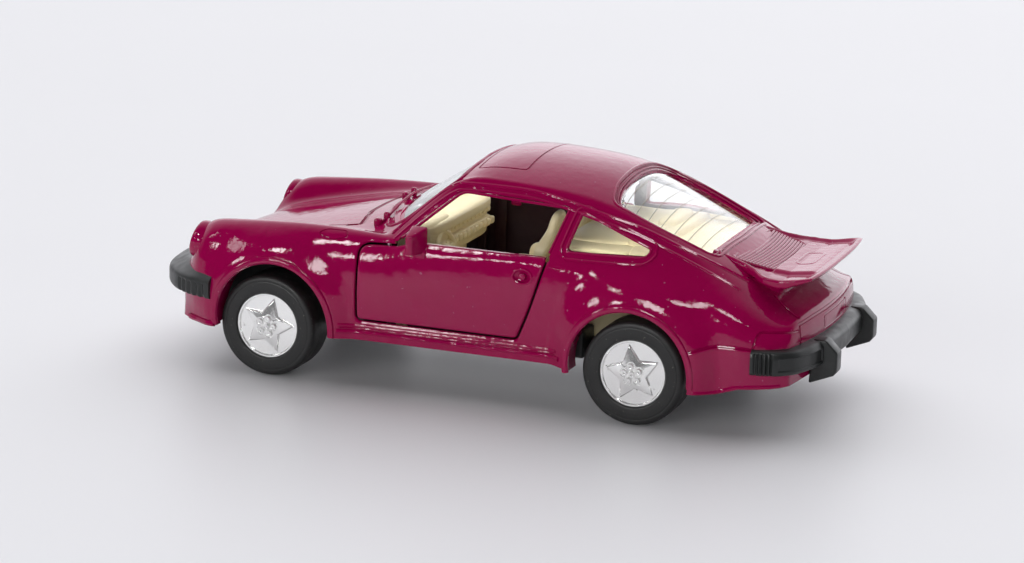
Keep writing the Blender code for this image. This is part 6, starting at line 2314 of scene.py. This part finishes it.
@dataclass
class Studio:
    """The pale floor, the soft light and the camera."""

    azimuth: float = math.radians(111.067)
    elevation: float = math.radians(14.465)
    roll: float = math.radians(1.245)
    distance: float = 0.493698
    target: Triple = (0.000001, -0.000573, 0.014626)
    lens: float = 105.515
    floor_half: float = 4.0
    room: Triple = (0.02, 0.02, 0.022)
    backdrop: Triple = (2.25, 2.25, 2.35)
    backdrop_fades: tuple[tuple[Triple, float, float], ...] = (
        ((0.0, 0.0, 1.0), 1.35, 0.0),
        ((0.0, 0.45, 0.9), -0.45, 0.1),
        ((-0.93, -0.36, 0.0), -0.05, 0.45),
    )
    lights: tuple[SoftLight, ...] = (
        SoftLight("ceiling", (-1.0, -0.2, 2.0), (4.2, 4.2), 50.0, False),
        SoftLight("side_fill", (1.45, -0.25, 0.42), (2.2, 0.7), 13.6, False),
        SoftLight("window", (0.78, -0.02, 0.46), (0.17, 0.24), 2.1, True),
        SoftLight("rear_light", (0.36, 0.24, 0.72), (0.12, 0.16), 0.85, True),
        SoftLight("strip", (0.70, -0.32, 0.235), (0.08, 0.07), 0.4, True),
        SoftLight("hood_light", (0.48, -0.31, 0.48), (0.07, 0.10), 0.6, True),
        SoftLight("corner_light", (0.65, -0.57, 0.27), (0.07, 0.12), 0.5, True),
        SoftLight("front_light", (0.36, -0.54, 0.44), (0.06, 0.20), 0.25, True),
    )

    def camera(self) -> None:
        """Stand the camera where the photograph was taken."""
        level = Vector((math.sin(self.azimuth), -math.cos(self.azimuth), 0.0))
        back = level * math.cos(self.elevation) + Vector((0.0, 0.0, math.sin(self.elevation)))
        place = facing(Vector(self.target) + back * self.distance, back)
        data = bpy.data.cameras.new("camera")
        data.lens = self.lens
        data.sensor_width = 36.0
        data.sensor_fit = "HORIZONTAL"
        data.clip_start = 0.01
        data.clip_end = 50.0
        camera = bpy.data.objects.new("camera", data)
        bpy.context.scene.collection.objects.link(camera)
        camera.matrix_world = place @ Matrix.Rotation(self.roll, 4, "Z")
        bpy.context.scene.camera = camera

    def floor(self) -> None:
        """Lay a plain pale floor."""
        side = np.linspace(-self.floor_half, self.floor_half, 3)
        grid_x, grid_y = np.meshgrid(side, side, indexing="ij")
        level = np.full_like(grid_x, -2e-5)
        floor = put_mesh("floor", lattice(np.stack([grid_x, grid_y, level], axis=-1)))
        sheet = NodeSheet("pale_floor")
        colour = sheet.blend(sheet.noise(9.0, 2.0), (0.75, 0.75, 0.77), (0.77, 0.77, 0.79))
        sheet.set(Base_Color=colour, Roughness=0.42, IOR=1.3)
        floor.data.materials.clear()
        floor.data.materials.append(sheet.material)

    def world(self) -> None:
        """A studio at work: a lit backdrop low down beyond the car, and a dim room above and behind."""
        world = bpy.data.worlds.new("studio")
        sheet = NodeTree(world)
        links = sheet.tree.links
        place = sheet.add("TexCoord").outputs["Generated"]
        shares = []
        for direction, low, high in self.backdrop_fades:
            dot = sheet.add("VectorMath")
            dot.operation = "DOT_PRODUCT"
            dot.inputs[1].default_value = direction
            links.new(place, dot.inputs[0])
            shares.append(sheet.band(dot.outputs["Value"], low, high))
        lit = shares[0]
        for share in shares[1:]:
            both = sheet.add("Math")
            both.operation = "MULTIPLY"
            links.new(lit, both.inputs[0])
            links.new(share, both.inputs[1])
            lit = both.outputs["Value"]
        sheet.feed(sheet.tree.nodes["Background"], Color=sheet.blend(lit, self.room, self.backdrop))
        bpy.context.scene.world = world

    def build(self) -> None:
        """Set up the whole stage."""
        bpy.context.scene.view_settings.view_transform = "Standard"
        self.camera()
        self.floor()
        self.world()
        for light in self.lights:
            light.hang()


# Assembly

WHEEL_TURNS = (
    ("front", "left", -14.0),
    ("front", "right", 20.0),
    ("rear", "left", 10.0),
    ("rear", "right", -30.0),
)


def dress_nodes(frame: dict, finishes: Finishes) -> None:
    """Give the frame's own nodes that stay in sight their finishes.

    Args:
        frame: The loaded frame.
        finishes: The finishes.
    """
    slots = {Slot.BLACK.value: finishes.black, Slot.STEEL.value: finishes.steel}
    for row in frame["record"]["subparts"]:
        node = frame["nodes"][row["node"]]
        if row["material_slot"] in slots and not node.hide_render:
            node.data.materials.clear()
            node.data.materials.append(slots[row["material_slot"]])


def main() -> None:
    """Build every sub-assembly around the frame."""
    logging.basicConfig(level=logging.INFO, format="%(name)s: %(message)s")
    for obj in list(bpy.data.objects):
        bpy.data.objects.remove(obj, do_unlink=True)
    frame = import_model()
    low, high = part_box("front_axle")
    shop = Workshop(LinesPlan((low.y + high.y) / 2), Finishes())
    shell = BodyShell(shop, Openings())
    shell.build()
    Doors(shop, shell).build(shell.outer())
    Glazing(shop, shell).build()
    Cabin(shop).build()
    WheelWells(shop).build()
    Bumper(
        shop, "black_front_bumper", "front_bumper",
        [(0, -23.4), (9, -22.65), (15, -21.2), (19.4, -18.2), (22.5, -14), (23.9, -9.5)],
        [(0.10, 12.1), (0.0, 12.7), (0.0, 14.7), (0.06, 15.3), (1.0, 17.0), (1.0, 12.1)],
        1.0, (4.4, 2.2), (0.74, 0.97), 5, rib_top=14.8,
    ).build([])
    Bumper(
        shop, "black_rear_bumper", "rear_bumper",
        [(0, 91.35), (12, 90.75), (18.4, 88.95), (21.2, 86.75), (22.55, 84), (22.75, 81.95)],
        [(0.15, 10.4), (0.0, 10.9), (0.0, 13.4), (0.2, 14.3), (1.0, 14.5), (1.0, 10.4)],
        -1.0, (3.4, 2.4), (0.87, 0.985), 5, strip=(0.46, 0.84, 11.2, 13.3),
    ).build(Overriders(shop).solids())
    WhaleTail(shop).build()
    for end, hand, degrees in WHEEL_TURNS:
        Wheel(shop, end, hand, math.radians(degrees)).build()
    dress_nodes(frame, shop.finishes)
    Studio().build()


if __name__ == "__main__":
    main()
